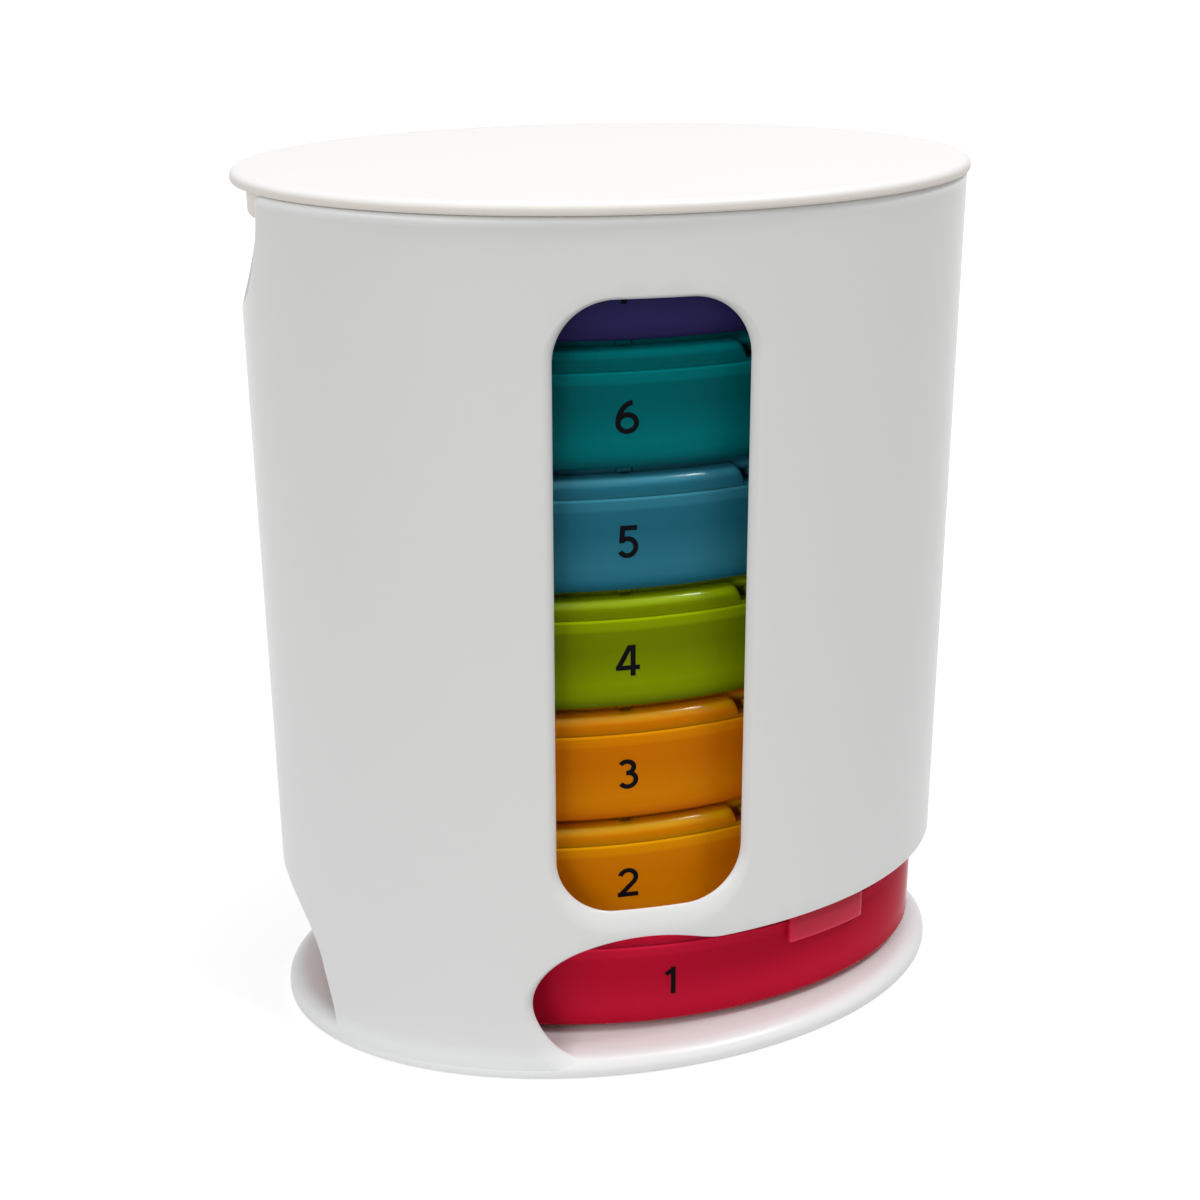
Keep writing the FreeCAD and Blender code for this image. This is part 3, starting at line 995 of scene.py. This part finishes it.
    def add_shell(self, shape: Shape) -> None:
        """Add the shell: rounded edge strips along the three loops, and a triangulated wall between them.

        Args:
            shape: where the faces go.
        """
        loops = [(self.window_loop(), 0.0, -1.0, self.sill_extra, self.edge_depth),
                 (self.lower_loop(), self.girth, 1.0, self.sill_extra, self.edge_depth),
                 (self.upper_loop(), self.girth, -1.0, -self.brim_less, self.brim_depth)]
        borders = []
        for loop, wrap, side, extra, edge_depth in loops:
            profile = self.edge_profile(edge_depth)
            into = side * left_normals(loop, wrap)
            into *= self.edge_width(loop, into, extra)[:, None]
            spots = loop[None] + profile[:, 0, None, None] * into[None]
            depth = np.broadcast_to(profile[:, 1:2], spots.shape[:2])
            shape.add_grid(self.wall_point(spots[..., 0], spots[..., 1], depth), ring_columns=True)
            borders.append(loop + profile[0, 0] * into)
        self.add_wall(shape, borders)

    def add_wall(self, shape: Shape, borders: list[np.ndarray]) -> None:
        """Triangulate the wall between its border loops, and add it as outer and inner face.

        The triangles are a constrained Delaunay mesh of the unrolled wall over an even grid of points.

        Args:
            shape: where the faces go.
            borders: loops in (distance round, z), each where an edge strip begins.
        """
        rings = [self.unroll(border) for border in borders]
        columns, rows = round(self.girth / self.mesh_step), round(self.top / self.mesh_step)
        s, z = np.meshgrid(np.arange(columns) * self.girth / columns,
                           np.linspace(0.0, self.top, rows), indexing="ij")
        lattice = np.stack([s.ravel(), z.ravel()], 1)
        lattice = lattice[inside_any_odd(self.unroll(lattice), rings)]
        spots = np.concatenate(borders)
        gap = lattice[:, None, :] - spots[None, ::2, :]
        gap[..., 0] = (gap[..., 0] + 0.5 * self.girth) % self.girth - 0.5 * self.girth
        distance = np.hypot(gap[..., 0], gap[..., 1])
        lattice = lattice[np.min(distance, axis=1) > self.least_gap * self.mesh_step]
        plane, triangles = triangulate(rings, self.unroll(lattice), 1.0, 1e-7)
        triangles = triangles[inside_any_odd(plane[triangles].mean(axis=1), rings)]
        flat = self.roll_up(plane)
        for depth in (0.0, self.wall):
            shape.add(self.wall_point(flat[:, 0], flat[:, 1], np.full(len(flat), depth)), triangles)

    def add_foot(self, shape: Shape) -> None:
        """Add the foot and floor: a flat oval disc with a rounded upper and lower edge.

        Args:
            shape: where the faces go.
        """
        fall, rise = quarter_turn(8)
        low = self.foot_low_r * np.stack([fall, rise], 1)
        across, down = self.foot_top_r
        high = np.stack([across * rise, self.floor_top - down * fall], 1)
        near, far = self.floor_rings
        start, inner = [(far, 0.0), (near, 0.0)], [(near, self.floor_top), (far, self.floor_top)]
        self.foot.turned(shape, np.concatenate([start, low, high, inner]))

    def build(self) -> None:
        """Build the housing and dress it."""
        shape = Shape()
        self.add_shell(shape)
        self.add_foot(shape)
        white = SHELL_WHITE.material("shell_white")
        dress(shape.make("white_housing"), white, "housing", "white_shell", "housing")


# ---------------------------------------------------------------- lid

@dataclass
class TowerLid:
    """The lift-off lid: a plate with a rounded edge and a faint crown, over a plug ring."""

    thickness: float = 2.3 * MM
    top_r: float = 1.2 * MM
    under_r: float = 0.5 * MM
    crown: float = 0.25 * MM
    trim: float = 0.45 * MM
    plug_inset: float = 2.45 * MM
    plug_wall: float = 1.2 * MM
    plug_end_r: float = 0.35 * MM
    under_ring: float = 22.0 * MM
    cap_rings: int = 24

    def build(self) -> None:
        """Build the lid and dress it.

        The crown rises by its height times 1 - reach^2, where reach is one at the plate's edge.
        """
        low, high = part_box("tower_lid")
        oval = Oval(0.5 * (high.x - low.x), 0.5 * (high.y - low.y) - self.trim)
        under, top = high.z - self.thickness, high.z - self.crown
        across, rise = quarter_turn(8)
        inside, end_r = self.plug_inset + self.plug_wall, self.plug_end_r
        profile = np.concatenate([
            [(self.under_ring, under), (inside, under)],
            np.stack([np.full(9, inside), np.linspace(under, low.z + end_r, 9)], 1),
            np.stack([inside - end_r * rise, low.z + end_r * across], 1),
            np.stack([self.plug_inset + end_r * across, low.z + end_r * rise], 1),
            [(self.plug_inset, under)],
            [(self.under_r, under)],
            np.stack([self.under_r * across, under + self.under_r * rise], 1),
            np.stack([self.top_r * rise, top - self.top_r * across], 1),
        ])
        shape = Shape()
        angle = np.linspace(0.0, TURN, 240, endpoint=False)
        grid = oval.at(angle[None], profile[:, 0:1], profile[:, 1:2])
        reach = np.linspace(1.0, 0.04, self.cap_rings)[1:]
        cap_z = top + self.crown * (1.0 - reach ** 2)
        cap = Oval(oval.a - self.top_r, oval.b - self.top_r)
        cap_grid = np.stack([cap.a * reach[:, None] * np.cos(angle), cap.b * reach[:, None] * np.sin(angle),
                             np.broadcast_to(cap_z[:, None], (len(reach), len(angle)))], -1)
        shape.add_turned(np.concatenate([grid, cap_grid]), np.array([0, 0, under]), np.array([0, 0, high.z]))
        white = LID_WHITE.material("lid_white", under)
        dress(shape.make("white_tower_lid"), white, "tower_lid", "white_lid", "tower_lid")


# ---------------------------------------------------------------- day boxes

@dataclass
class DayBox:
    """One day's box: tray, cover frame, four flaps and the printed label."""

    day: Day
    tray_wall: float = 1.2 * MM
    tray_foot_r: float = 2.0 * MM
    tray_inner_r: float = 1.8 * MM
    ring_height: float = 0.7 * MM
    ring_inset: float = 6.0 * MM
    ring_wall: float = 1.4 * MM
    soft_r: float = 0.3 * MM
    middle_ring: float = 14.0 * MM
    divider_half: float = 0.6 * MM
    divider_clear: float = 0.1 * MM
    divider_top_r: float = 0.4 * MM
    divider_edge: float = 0.2 * MM
    rim_width: float = 2.6 * MM
    rim_r: float = 2.3 * MM
    rim_fullness: float = 1.6
    rim_inset: float = 0.3 * MM
    rim_inner_r: float = 0.2 * MM
    recess_x: tuple[float, float] = (19.7 * MM, 38.5 * MM)
    recess_top: float = 0.5 * MM
    recess_r: float = 1.5 * MM
    bar_inset: float = 2.0 * MM
    bar_top: float = 3.55 * MM
    bar_corner_r: float = 0.35 * MM
    bar_edge: float = 0.3 * MM
    bar_sink: float = 0.02 * MM
    block_half: float = 1.3 * MM
    block_inset: tuple[float, float] = (0.8 * MM, 2.4 * MM)
    spine_half: float = 1.2 * MM
    cross_half: float = 1.0 * MM
    ear_top: float = 2.6 * MM
    ear_half: float = 4.2 * MM
    centre_ear_x: float = 4.6 * MM
    end_ear_x: tuple[float, float] = (42.0 * MM, 44.5 * MM)
    bridge_half: float = 2.0 * MM
    bridge_inset: float = 0.4 * MM
    hinge_y: float = 3.0 * MM
    hinge_rise: float = 1.4 * MM
    barrel_r: float = 1.2 * MM
    barrel_x: tuple[float, float] = (5.0 * MM, 41.6 * MM)
    pin_r: float = 0.75 * MM
    pin_reach: float = 2.2 * MM
    flap_half: float = 0.6 * MM
    flap_inset: float = 3.0 * MM
    flap_side: float = 1.4 * MM
    pocket_y: float = 5.2 * MM
    pocket_clear: float = 0.4 * MM
    flap_steps: int = 40
    hem_width: float = 1.6 * MM
    hem_bottom: float = 0.15 * MM
    hem_edge: float = 0.12 * MM
    hem_top: float = 4.3 * MM
    monday_hem_top: float = 3.35 * MM
    tab_x: tuple[float, float] = (21.7 * MM, 36.5 * MM)
    tab_gap: float = 0.35 * MM
    tab_wall: float = 1.15 * MM
    tab_drop: float = 3.6 * MM
    tab_reach: float = 4.2 * MM
    tab_edge: float = 0.35 * MM
    tab_taper: float = 1.3
    crest_gloss: float = 0.25
    matt_crest: float = 0.06
    figure_height: float = 5.6 * MM
    figure_line: float = 6.9 * MM
    ink_proud: float = 0.03 * MM
    ink_sunk: float = 0.1 * MM

    def __post_init__(self) -> None:
        """Take the box's place and outer sizes from its packed tray and frame."""
        low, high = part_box(f"{self.day.key}_tray")
        self.oval = Oval(0.5 * (high.x - low.x), 0.5 * (high.y - low.y), 0.5 * (high.x + low.x))
        self.base, self.seam = low.z, high.z
        self.rim_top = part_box(f"{self.day.key}_cover_frame")[1].z
        tint, crest = self.day.finish, self.matt_crest if self.day is Day.SATURDAY else self.crest_gloss
        # The tray's, the cover's and the flaps' materials all carry their painted light and shade by height;
        # the stops given here set only the gloss.
        cover = polished(tint, (18.9, 0.02), (19.9, crest), (20.6, crest), (20.7, 0.02))
        self.matt = tint.material(self.day.slot, self.base)
        self.glossy = cover.material(f"{self.day.slot}_polished", self.base)
        self.satin = polished(tint, (18.0, 0.15), (19.5, 0.02)).material(f"{self.day.slot}_satin", self.base)
        self.body = f"{self.day.key}_box"
        if self.day is Day.MONDAY:
            self.hem_top = self.monday_hem_top

    def dress(self, shape: Shape, name: str, material: bpy.types.Material, *nodes: str) -> None:
        """Make one of the box's own pieces and dress it.

        Args:
            shape: its surfaces.
            name: its name after the day's.
            material: its material.
            nodes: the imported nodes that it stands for, by their names after the day's.
        """
        piece = shape.make(f"{self.day.key}_{name}")
        dress(piece, material, self.body, self.day.slot, *(f"{self.day.key}_{node}" for node in nodes))

    def build_tray(self) -> None:
        """Build the tray: an oval cup that stands on a foot ring, as one profile carried round."""
        fall, rise = quarter_turn(8)
        under, base, middle = self.base + self.ring_height, self.base, self.middle_ring
        near, far, soft = self.ring_inset, self.ring_inset + self.ring_wall, self.soft_r
        ring = np.array([(middle, under), (far, under), (far, base + soft), (far - soft, base),
                         (near + soft, base), (near, base + soft), (near, under)])
        foot = np.stack([self.tray_foot_r * fall, under + self.tray_foot_r * rise], 1)
        lip = np.stack([soft * rise, self.seam - soft * fall], 1)
        floor = under + self.tray_wall
        inner = np.stack([self.tray_wall + self.tray_inner_r * rise, floor + self.tray_inner_r * fall], 1)
        profile = np.concatenate([ring, foot, lip, [(self.tray_wall, self.seam)], inner, [(middle, floor)]])
        shape = Shape()
        self.oval.turned(shape, profile, 200)
        self.dress(shape, "tray_cup", self.matt, "tray")

    def build_divider(self) -> None:
        """Build the divider: two upright plates that cross, their lower ends rounded to fit the cup."""
        low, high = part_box(f"{self.day.key}_divider")
        shape, half = Shape(), self.divider_half
        radii = [self.tray_inner_r + self.divider_clear] * 2 + [self.divider_top_r] * 2
        for start, end, order in ((low.x, high.x, [0, 2, 1]), (low.y, high.y, [2, 0, 1])):
            corners = np.array([(start, low.z), (end, low.z), (end, high.z), (start, high.z)])
            plate = Shape()
            slab(plate, round_corners(corners, radii, 8), -half, half, self.divider_edge)
            points = np.concatenate(plate.points)[:, order]
            if order[0] == 2:
                points[:, 0] += self.oval.x
            shape.add(points, np.zeros((0, 4), int))
            shape.faces.extend(faces + shape.count - len(points) for faces in plate.faces)
        self.dress(shape, "divider_cross", self.matt, "divider")

    def rim_path(self) -> np.ndarray:
        """The rim's top line over one quarter.

        It is high, turns down over a round shoulder, runs low through the recess, and comes up again.

        Returns:
            Rows of (x from the centre, height above the seam).
        """
        high, low = self.rim_top - self.seam, self.recess_top
        start, end = self.recess_x
        r = self.recess_r
        down = arc((start - r, high - r), r, 90.0, 0.0, 7)
        up = arc((end + r, high - r), r, 180.0, 90.0, 7)
        flat = np.linspace(0.0, start - r, 24)[:-1]
        tail = self.oval.a * np.sin(np.linspace(math.asin((end + r) / self.oval.a), 0.5 * math.pi, 30))[1:]
        recess = np.linspace(start, end, 20)
        return np.concatenate([
            np.stack([flat, np.full(len(flat), high)], 1), down,
            np.stack([np.full(3, start), np.linspace(high - r, low, 5)[1:-1]], 1),
            np.stack([recess, np.full(len(recess), low)], 1),
            np.stack([np.full(3, end), np.linspace(low, high - r, 5)[1:-1]], 1), up,
            np.stack([tail, np.full(len(tail), high)], 1),
        ])

    def build_frame(self) -> None:
        """Build the cover frame: the rim with its recesses, the spine with its ears, and the cross bar.

        The rim's outer corner is a superellipse: |across|^n + |up|^n = r^n, where n is its fullness.
        """
        path = self.rim_path()
        quarter = np.arccos(np.clip(path[:, 0] / self.oval.a, -1.0, 1.0))[::-1]
        height = path[::-1, 1]
        angle = np.concatenate([quarter, math.pi - quarter[::-1][1:], math.pi + quarter[1:],
                                TURN - quarter[::-1][1:-1]])
        height = np.concatenate([height, height[::-1][1:], height[1:], height[::-1][1:-1]])
        phi = np.linspace(0.0, 0.5 * math.pi, 13)[:, None]
        across = 1 - np.clip(np.cos(phi), 0.0, 1.0) ** (2.0 / self.rim_fullness)
        drop = 1 - np.sin(phi) ** (2.0 / self.rim_fullness)
        outer_r = np.minimum(self.rim_r, 0.6 * height)[None]
        inner_r = np.minimum(self.rim_inner_r, 0.2 * height)[None]
        fall, climb = (part[:, None] for part in quarter_turn(4))
        foot, width = np.zeros((1, len(height))), self.rim_width - self.rim_inset
        inset = np.concatenate([foot, outer_r * across, width - inner_r * fall, foot + width])
        rise = np.concatenate([foot, height - outer_r * drop, height - inner_r * climb, foot])
        shape = Shape()
        grid = self.oval.at(angle[None], self.rim_inset + inset, self.seam + rise)
        shape.add_grid(grid, ring_rows=True, ring_columns=True)
        self.add_bars(shape)
        self.dress(shape, "cover", self.glossy, "cover_frame")

    def add_bars(self, shape: Shape) -> None:
        """Add the spine, the cross bar and its blocks, the hinge ears and the end bridges of the cover frame.

        Args:
            shape: where the faces go.
        """
        x, a, b = self.oval.x, self.oval.a - self.bar_inset, self.oval.b - self.bar_inset
        high, low, blocks = (self.seam + top for top in (self.bar_top, self.ear_top, self.hem_top))
        middle, ear, bridge, half = self.centre_ear_x, self.ear_half, self.bridge_half, self.block_half
        bars = [((x - a, x + a), (-self.spine_half, self.spine_half), high),
                ((x - self.cross_half, x + self.cross_half), (-b, b), high),
                ((x - middle, x + middle), (-ear, ear), low)]
        for side in (-1.0, 1.0):
            near, far, end = (x + side * reach for reach in (*self.end_ear_x, a - self.bridge_inset))
            bars.append((tuple(sorted((near, far))), (-ear, ear), low))
            bars.append((tuple(sorted((far, end))), (-bridge, bridge), low))
        for side in (-1.0, 1.0):
            across = tuple(sorted(side * (b - inset) for inset in self.block_inset))
            bars.append(((x - half, x + half), across, blocks))
        for wide, deep, top in bars:
            outline = box_outline(wide, deep, self.bar_corner_r)
            slab(shape, outline, self.seam - self.bar_sink, top, self.bar_edge)

    def flap_outline(self) -> np.ndarray:
        """The flap's outline over the back right quarter, with notches that clear the hinge ears.

        Returns:
            The curved side's points, and then the corners of the rest, anticlockwise.
        """
        (near, middle), far = self.barrel_x, self.end_ear_x[1] + self.pocket_clear
        pocket, side, hinge = self.pocket_y, self.flap_side, self.hinge_y
        a, b = self.oval.a - self.flap_inset, self.oval.b - self.flap_inset
        angle = np.linspace(math.asin(hinge / b), math.acos(side / a), self.flap_steps)
        edge = np.stack([a * np.cos(angle), b * np.sin(angle)], 1)
        inner = np.array([(side, pocket), (near, pocket), (near, hinge), (middle, hinge), (middle, pocket),
                          (far, pocket), (far, hinge)])
        return np.concatenate([edge, inner])

    def tab_profile(self) -> np.ndarray:
        """The tab's section, an L: it lies over the rim's recess and hangs down outside the tray.

        Returns:
            Its outline in (distance outside the box's wall, height above the hinge line).
        """
        out, gap, half = self.tab_gap + self.tab_wall, self.tab_gap, self.flap_half
        foot = -self.hinge_rise - self.tab_drop
        corners = np.array([(-self.tab_reach, -half), (gap, -half), (gap, foot), (out, foot), (out, half),
                            (-self.tab_reach, half)])
        return round_corners(corners, [0.1 * MM, 0.15 * MM, 0.3 * MM, 0.3 * MM, 0.55 * MM, 0.1 * MM], 6)

    def add_flap(self, shape: Shape, side_x: float, side_y: float) -> None:
        """Add one flap, mirrored into its quarter: plate with a raised border, barrel with pins, and tab.

        Args:
            shape: where the flap goes.
            side_x: -1 for a left flap, 1 for a right one.
            side_y: -1 for a front flap, 1 for a back one.
        """
        part = Shape()
        level = self.seam + self.hinge_rise
        outline = self.flap_outline()
        notched_slab(part, outline, level - self.flap_half, level + self.flap_half)
        edge = outline[self.flap_steps // 4:self.flap_steps]
        inner = edge * (1.0 - self.hem_width / np.linalg.norm(edge, axis=1))[:, None]
        low, high = self.seam + self.hem_bottom, self.seam + self.hem_top
        notched_slab(part, np.concatenate([edge, inner[::-1]]), low, high, self.hem_edge)
        turn = np.linspace(0.0, TURN, 20, endpoint=False)
        (start, end), reach, pin, barrel = self.barrel_x, self.pin_reach, self.pin_r, self.barrel_r
        line = np.array([(start - reach, pin), (start, pin), (start, barrel), (end, barrel), (end, pin),
                         (end + reach, pin)])
        rod = np.stack([np.broadcast_to(line[:, 0:1], (len(line), len(turn))),
                        self.hinge_y + line[:, 1:2] * np.cos(turn), level + line[:, 1:2] * np.sin(turn)], -1)
        ends = [np.array([x, self.hinge_y, level]) for x in (start - reach, end + reach)]
        part.add_turned(rod, *ends)
        self.add_tab(part, level)
        points = np.concatenate(part.points) * np.array([side_x, side_y, 1.0])
        points[:, 0] += self.oval.x
        shape.points.append(points)
        shape.faces.extend(part.faces)

    def add_tab(self, part: Shape, level: float) -> None:
        """Add the tab: its section carried along the box's oval, and drawn in at both ends.

        Args:
            part: where the faces go.
            level: height of the hinge line.
        """
        section, edge = self.tab_profile(), self.tab_edge
        fall, rise = quarter_turn(3)
        last, first = np.arccos(np.array(self.tab_x) / self.oval.a)
        rate = edge / math.hypot(self.oval.a, self.oval.b) * self.tab_taper
        drawn = np.concatenate([edge * fall, np.zeros(16), edge * fall[::-1]])
        along = np.concatenate([first + rate * rise, np.linspace(first + rate, last - rate, 18)[1:-1],
                                last - rate * rise[::-1]])
        spots = section[None] + drawn[:, None, None] * left_normals(section)[None]
        own = Oval(self.oval.a, self.oval.b)
        grid = own.at(along[:, None], -spots[..., 0], level + spots[..., 1])
        elbow = self.tab_gap + 0.5 * self.tab_wall
        hubs = [own.at(np.array(along[k]), np.array(-elbow), np.array(level)) for k in (0, -1)]
        part.add_turned(grid, *hubs)

    def build_flaps(self) -> None:
        """Build the four flaps, each riding on its own body."""
        for word_y, side_y in (("back", 1.0), ("front", -1.0)):
            for word_x, side_x in (("right", 1.0), ("left", -1.0)):
                name = f"{self.day.key}_{word_y}_{word_x}_flap"
                shape = Shape()
                self.add_flap(shape, side_x, side_y)
                dress(shape.make(f"{name}_lid"), self.satin, name, self.day.slot, name)

    def build_label(self, ink: bpy.types.Material) -> None:
        """Print the day's number on the tray's front.

        The figure is drawn flat in (x, z), triangulated, and moved out to the oval's face at
        y = -b sqrt(1 - (x / a)^2). A wall round its edges gives the print its thickness.

        Args:
            ink: the label's material.
        """
        width, strokes = Figures().strokes(self.day.number)
        corner = np.array([-0.5 * width * self.figure_height, self.figure_line])
        flat, triangles = fill_union([corner + self.figure_height * stroke for stroke in strokes])
        layers = []
        for proud in (self.ink_proud, -self.ink_sunk):
            y = -(self.oval.b + proud) * np.sqrt(1.0 - (flat[:, 0] / self.oval.a) ** 2)
            layers.append(np.stack([flat[:, 0] + self.oval.x, y, flat[:, 1] + self.base], 1))
        shape = Shape()
        shape.add(np.concatenate(layers), triangles)
        rim = border_edges(triangles)
        count = len(flat)
        walls = np.stack([rim[:, 1], rim[:, 0], rim[:, 0] + count, rim[:, 1] + count], 1)
        shape.faces.extend([triangles[:, ::-1] + count, walls])
        self.dress(shape, "label", ink)

    def build(self, ink: bpy.types.Material) -> None:
        """Build every piece of the box.

        Args:
            ink: the label's material.
        """
        self.build_tray()
        self.build_divider()
        self.build_frame()
        self.build_flaps()
        self.build_label(ink)


# ---------------------------------------------------------------- studio

@dataclass(frozen=True)
class Lamp:
    """A soft rectangular lamp: its name, its place, what it is turned to, its size and its power."""

    name: str
    place: tuple[float, float, float]
    aim: tuple[float, float, float]
    size: tuple[float, float]
    power: float

    def build(self) -> None:
        """Make the lamp and turn its face, -Z, to its aim."""
        data = bpy.data.lights.new(self.name, "AREA")
        data.shape, data.energy = "RECTANGLE", self.power
        data.size, data.size_y = self.size
        lamp = bpy.data.objects.new(self.name, data)
        back = np.array(self.place) - np.array(self.aim)
        back /= np.linalg.norm(back)
        side = np.cross([0.0, 1.0, 0.01], back)
        side /= np.linalg.norm(side)
        columns = np.column_stack([side, np.cross(back, side), back, self.place])
        lamp.matrix_world = Matrix([*columns.tolist(), [0.0, 0.0, 0.0, 1.0]])
        bpy.context.scene.collection.objects.link(lamp)


@dataclass
class Studio:
    """The plain white floor, the soft lights and the camera."""

    eye: tuple[float, float, float] = (-49.44 * MM, -288.0 * MM, 203.59 * MM)
    azimuth: float = -12.18
    elevation: float = 18.99
    roll: float = 0.52
    focal: float = 52.48
    shift: tuple[float, float] = (-0.0688, -0.127)
    floor_half: float = 6.0
    floor_bounce: float = 0.65
    floor_glow: float = 0.72
    glow_from: tuple[float, float] = (0.15, 0.7)
    floor_shaded: float = 0.45
    world_strength: float = 0.28
    lamps: tuple[Lamp, ...] = (
        Lamp("overhead", (0.0, -0.1, 1.25), (0.0, 0.0, 0.08), (0.7, 0.5), 4.6),
        Lamp("left_front", (-1.05, -0.85, 0.88), (0.0, 0.0, 0.08), (0.8, 0.8), 5.4),
        Lamp("key", (0.53, -0.41, 1.25), (0.0, -0.03, 0.08), (0.13, 0.34), 6.2),
        Lamp("low_front", (-0.8, -1.3, 0.42), (0.0, 0.0, 0.13), (1.0, 0.16), 2.4),
    )

    def camera(self) -> None:
        """Place the camera: it looks along -B, where B rises by the elevation and turns by the azimuth."""
        az, el, ro = (math.radians(v) for v in (self.azimuth, self.elevation, self.roll))
        back = np.array([math.sin(az) * math.cos(el), -math.cos(az) * math.cos(el), math.sin(el)])
        right = np.cross(-back, [0.0, 0.0, 1.0])
        right /= np.linalg.norm(right)
        up = np.cross(right, -back)
        turned = right * math.cos(ro) + up * math.sin(ro)
        up = up * math.cos(ro) - right * math.sin(ro)
        data = bpy.data.cameras.new("camera")
        data.lens, data.sensor_width = self.focal, 36.0
        data.shift_x, data.shift_y = self.shift
        data.clip_start, data.clip_end = 0.01, 50.0
        camera = bpy.data.objects.new("camera", data)
        columns = np.column_stack([turned, up, back, self.eye])
        camera.matrix_world = Matrix([*columns.tolist(), [0.0, 0.0, 0.0, 1.0]])
        bpy.context.scene.collection.objects.link(camera)
        bpy.context.scene.camera = camera

    def floor(self) -> None:
        """Lay the white floor; where it is seen, reflected or shone through, it adds some light of its own.

        That light grows with the distance from the object, up to 1 where the lamps no longer reach.
        """
        half = self.floor_half
        mesh = bpy.data.meshes.new("floor")
        corners = [(-half, -half, 0.0), (half, -half, 0.0), (half, half, 0.0), (-half, half, 0.0)]
        mesh.from_pydata(corners, [], [(0, 1, 2, 3)])
        floor = bpy.data.objects.new("floor", mesh)
        bpy.context.scene.collection.objects.link(floor)
        made = bpy.data.materials.new("floor_white")
        made.use_nodes = True
        tree = made.node_tree
        tree.nodes.clear()
        bounce, shaded = (node(tree, "ShaderNodeBsdfDiffuse", Color=(*[share] * 3, 1.0))
                          for share in (self.floor_bounce, self.floor_shaded))
        near, far = self.glow_from
        place = tree.nodes.new("ShaderNodeTexCoord")
        reach = node(tree, "ShaderNodeVectorMath", operation="LENGTH")
        strength = node(tree, "ShaderNodeMapRange", From_Min=near, From_Max=far, To_Min=self.floor_glow,
                        To_Max=1.0)
        glow = node(tree, "ShaderNodeEmission", Color=(1.0, 1.0, 1.0, 1.0))
        both = tree.nodes.new("ShaderNodeAddShader")
        mix = tree.nodes.new("ShaderNodeMixShader")
        out = tree.nodes.new("ShaderNodeOutputMaterial")
        link = tree.links.new
        link(place.outputs["Object"], reach.inputs[0])
        link(reach.outputs["Value"], strength.inputs["Value"])
        link(strength.outputs[0], glow.inputs["Strength"])
        link(shaded.outputs[0], both.inputs[0])
        link(glow.outputs[0], both.inputs[1])
        link(self.seen(tree), mix.inputs[0])
        link(bounce.outputs[0], mix.inputs[1])
        link(both.outputs[0], mix.inputs[2])
        link(mix.outputs[0], out.inputs["Surface"])
        floor.data.materials.append(made)

    def seen(self, tree: bpy.types.NodeTree) -> bpy.types.NodeSocket:
        """A factor that is one for camera, glossy and transmission rays, and zero for the rest.

        Args:
            tree: where its nodes go.

        Returns:
            The factor's socket.
        """
        path = tree.nodes.new("ShaderNodeLightPath")
        first, second = (node(tree, "ShaderNodeMath", operation="MAXIMUM") for _ in range(2))
        tree.links.new(path.outputs["Is Camera Ray"], first.inputs[0])
        tree.links.new(path.outputs["Is Glossy Ray"], first.inputs[1])
        tree.links.new(first.outputs[0], second.inputs[0])
        tree.links.new(path.outputs["Is Transmission Ray"], second.inputs[1])
        return second.outputs[0]

    def world(self) -> None:
        """Light the scene evenly; where the world is seen, reflected or shone through, it is white."""
        world = bpy.data.worlds.new("studio")
        world.use_nodes = True
        bpy.context.scene.world = world
        tree = world.node_tree
        tree.nodes.clear()
        soft = node(tree, "ShaderNodeBackground", Color=(1.0, 1.0, 1.0, 1.0), Strength=self.world_strength)
        seen = node(tree, "ShaderNodeBackground", Color=(1.0, 1.0, 1.0, 1.0), Strength=1.0)
        mix = tree.nodes.new("ShaderNodeMixShader")
        out = tree.nodes.new("ShaderNodeOutputWorld")
        link = tree.links.new
        link(self.seen(tree), mix.inputs[0])
        link(soft.outputs[0], mix.inputs[1])
        link(seen.outputs[0], mix.inputs[2])
        link(mix.outputs[0], out.inputs["Surface"])

    def build(self) -> None:
        """Set up everything that isn't part of the object."""
        bpy.context.scene.view_settings.view_transform = "Standard"
        self.camera()
        self.floor()
        self.world()
        for lamp in self.lamps:
            lamp.build()


def main() -> None:
    """Build every piece in order."""
    logging.basicConfig(level=logging.INFO, format="%(name)s: %(message)s")
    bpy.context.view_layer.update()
    Studio().build()
    Housing().build()
    TowerLid().build()
    ink = LABEL_INK.material("label_ink")
    for day in Day:
        DayBox(day).build(ink)


if __name__ == "__main__":
    main()
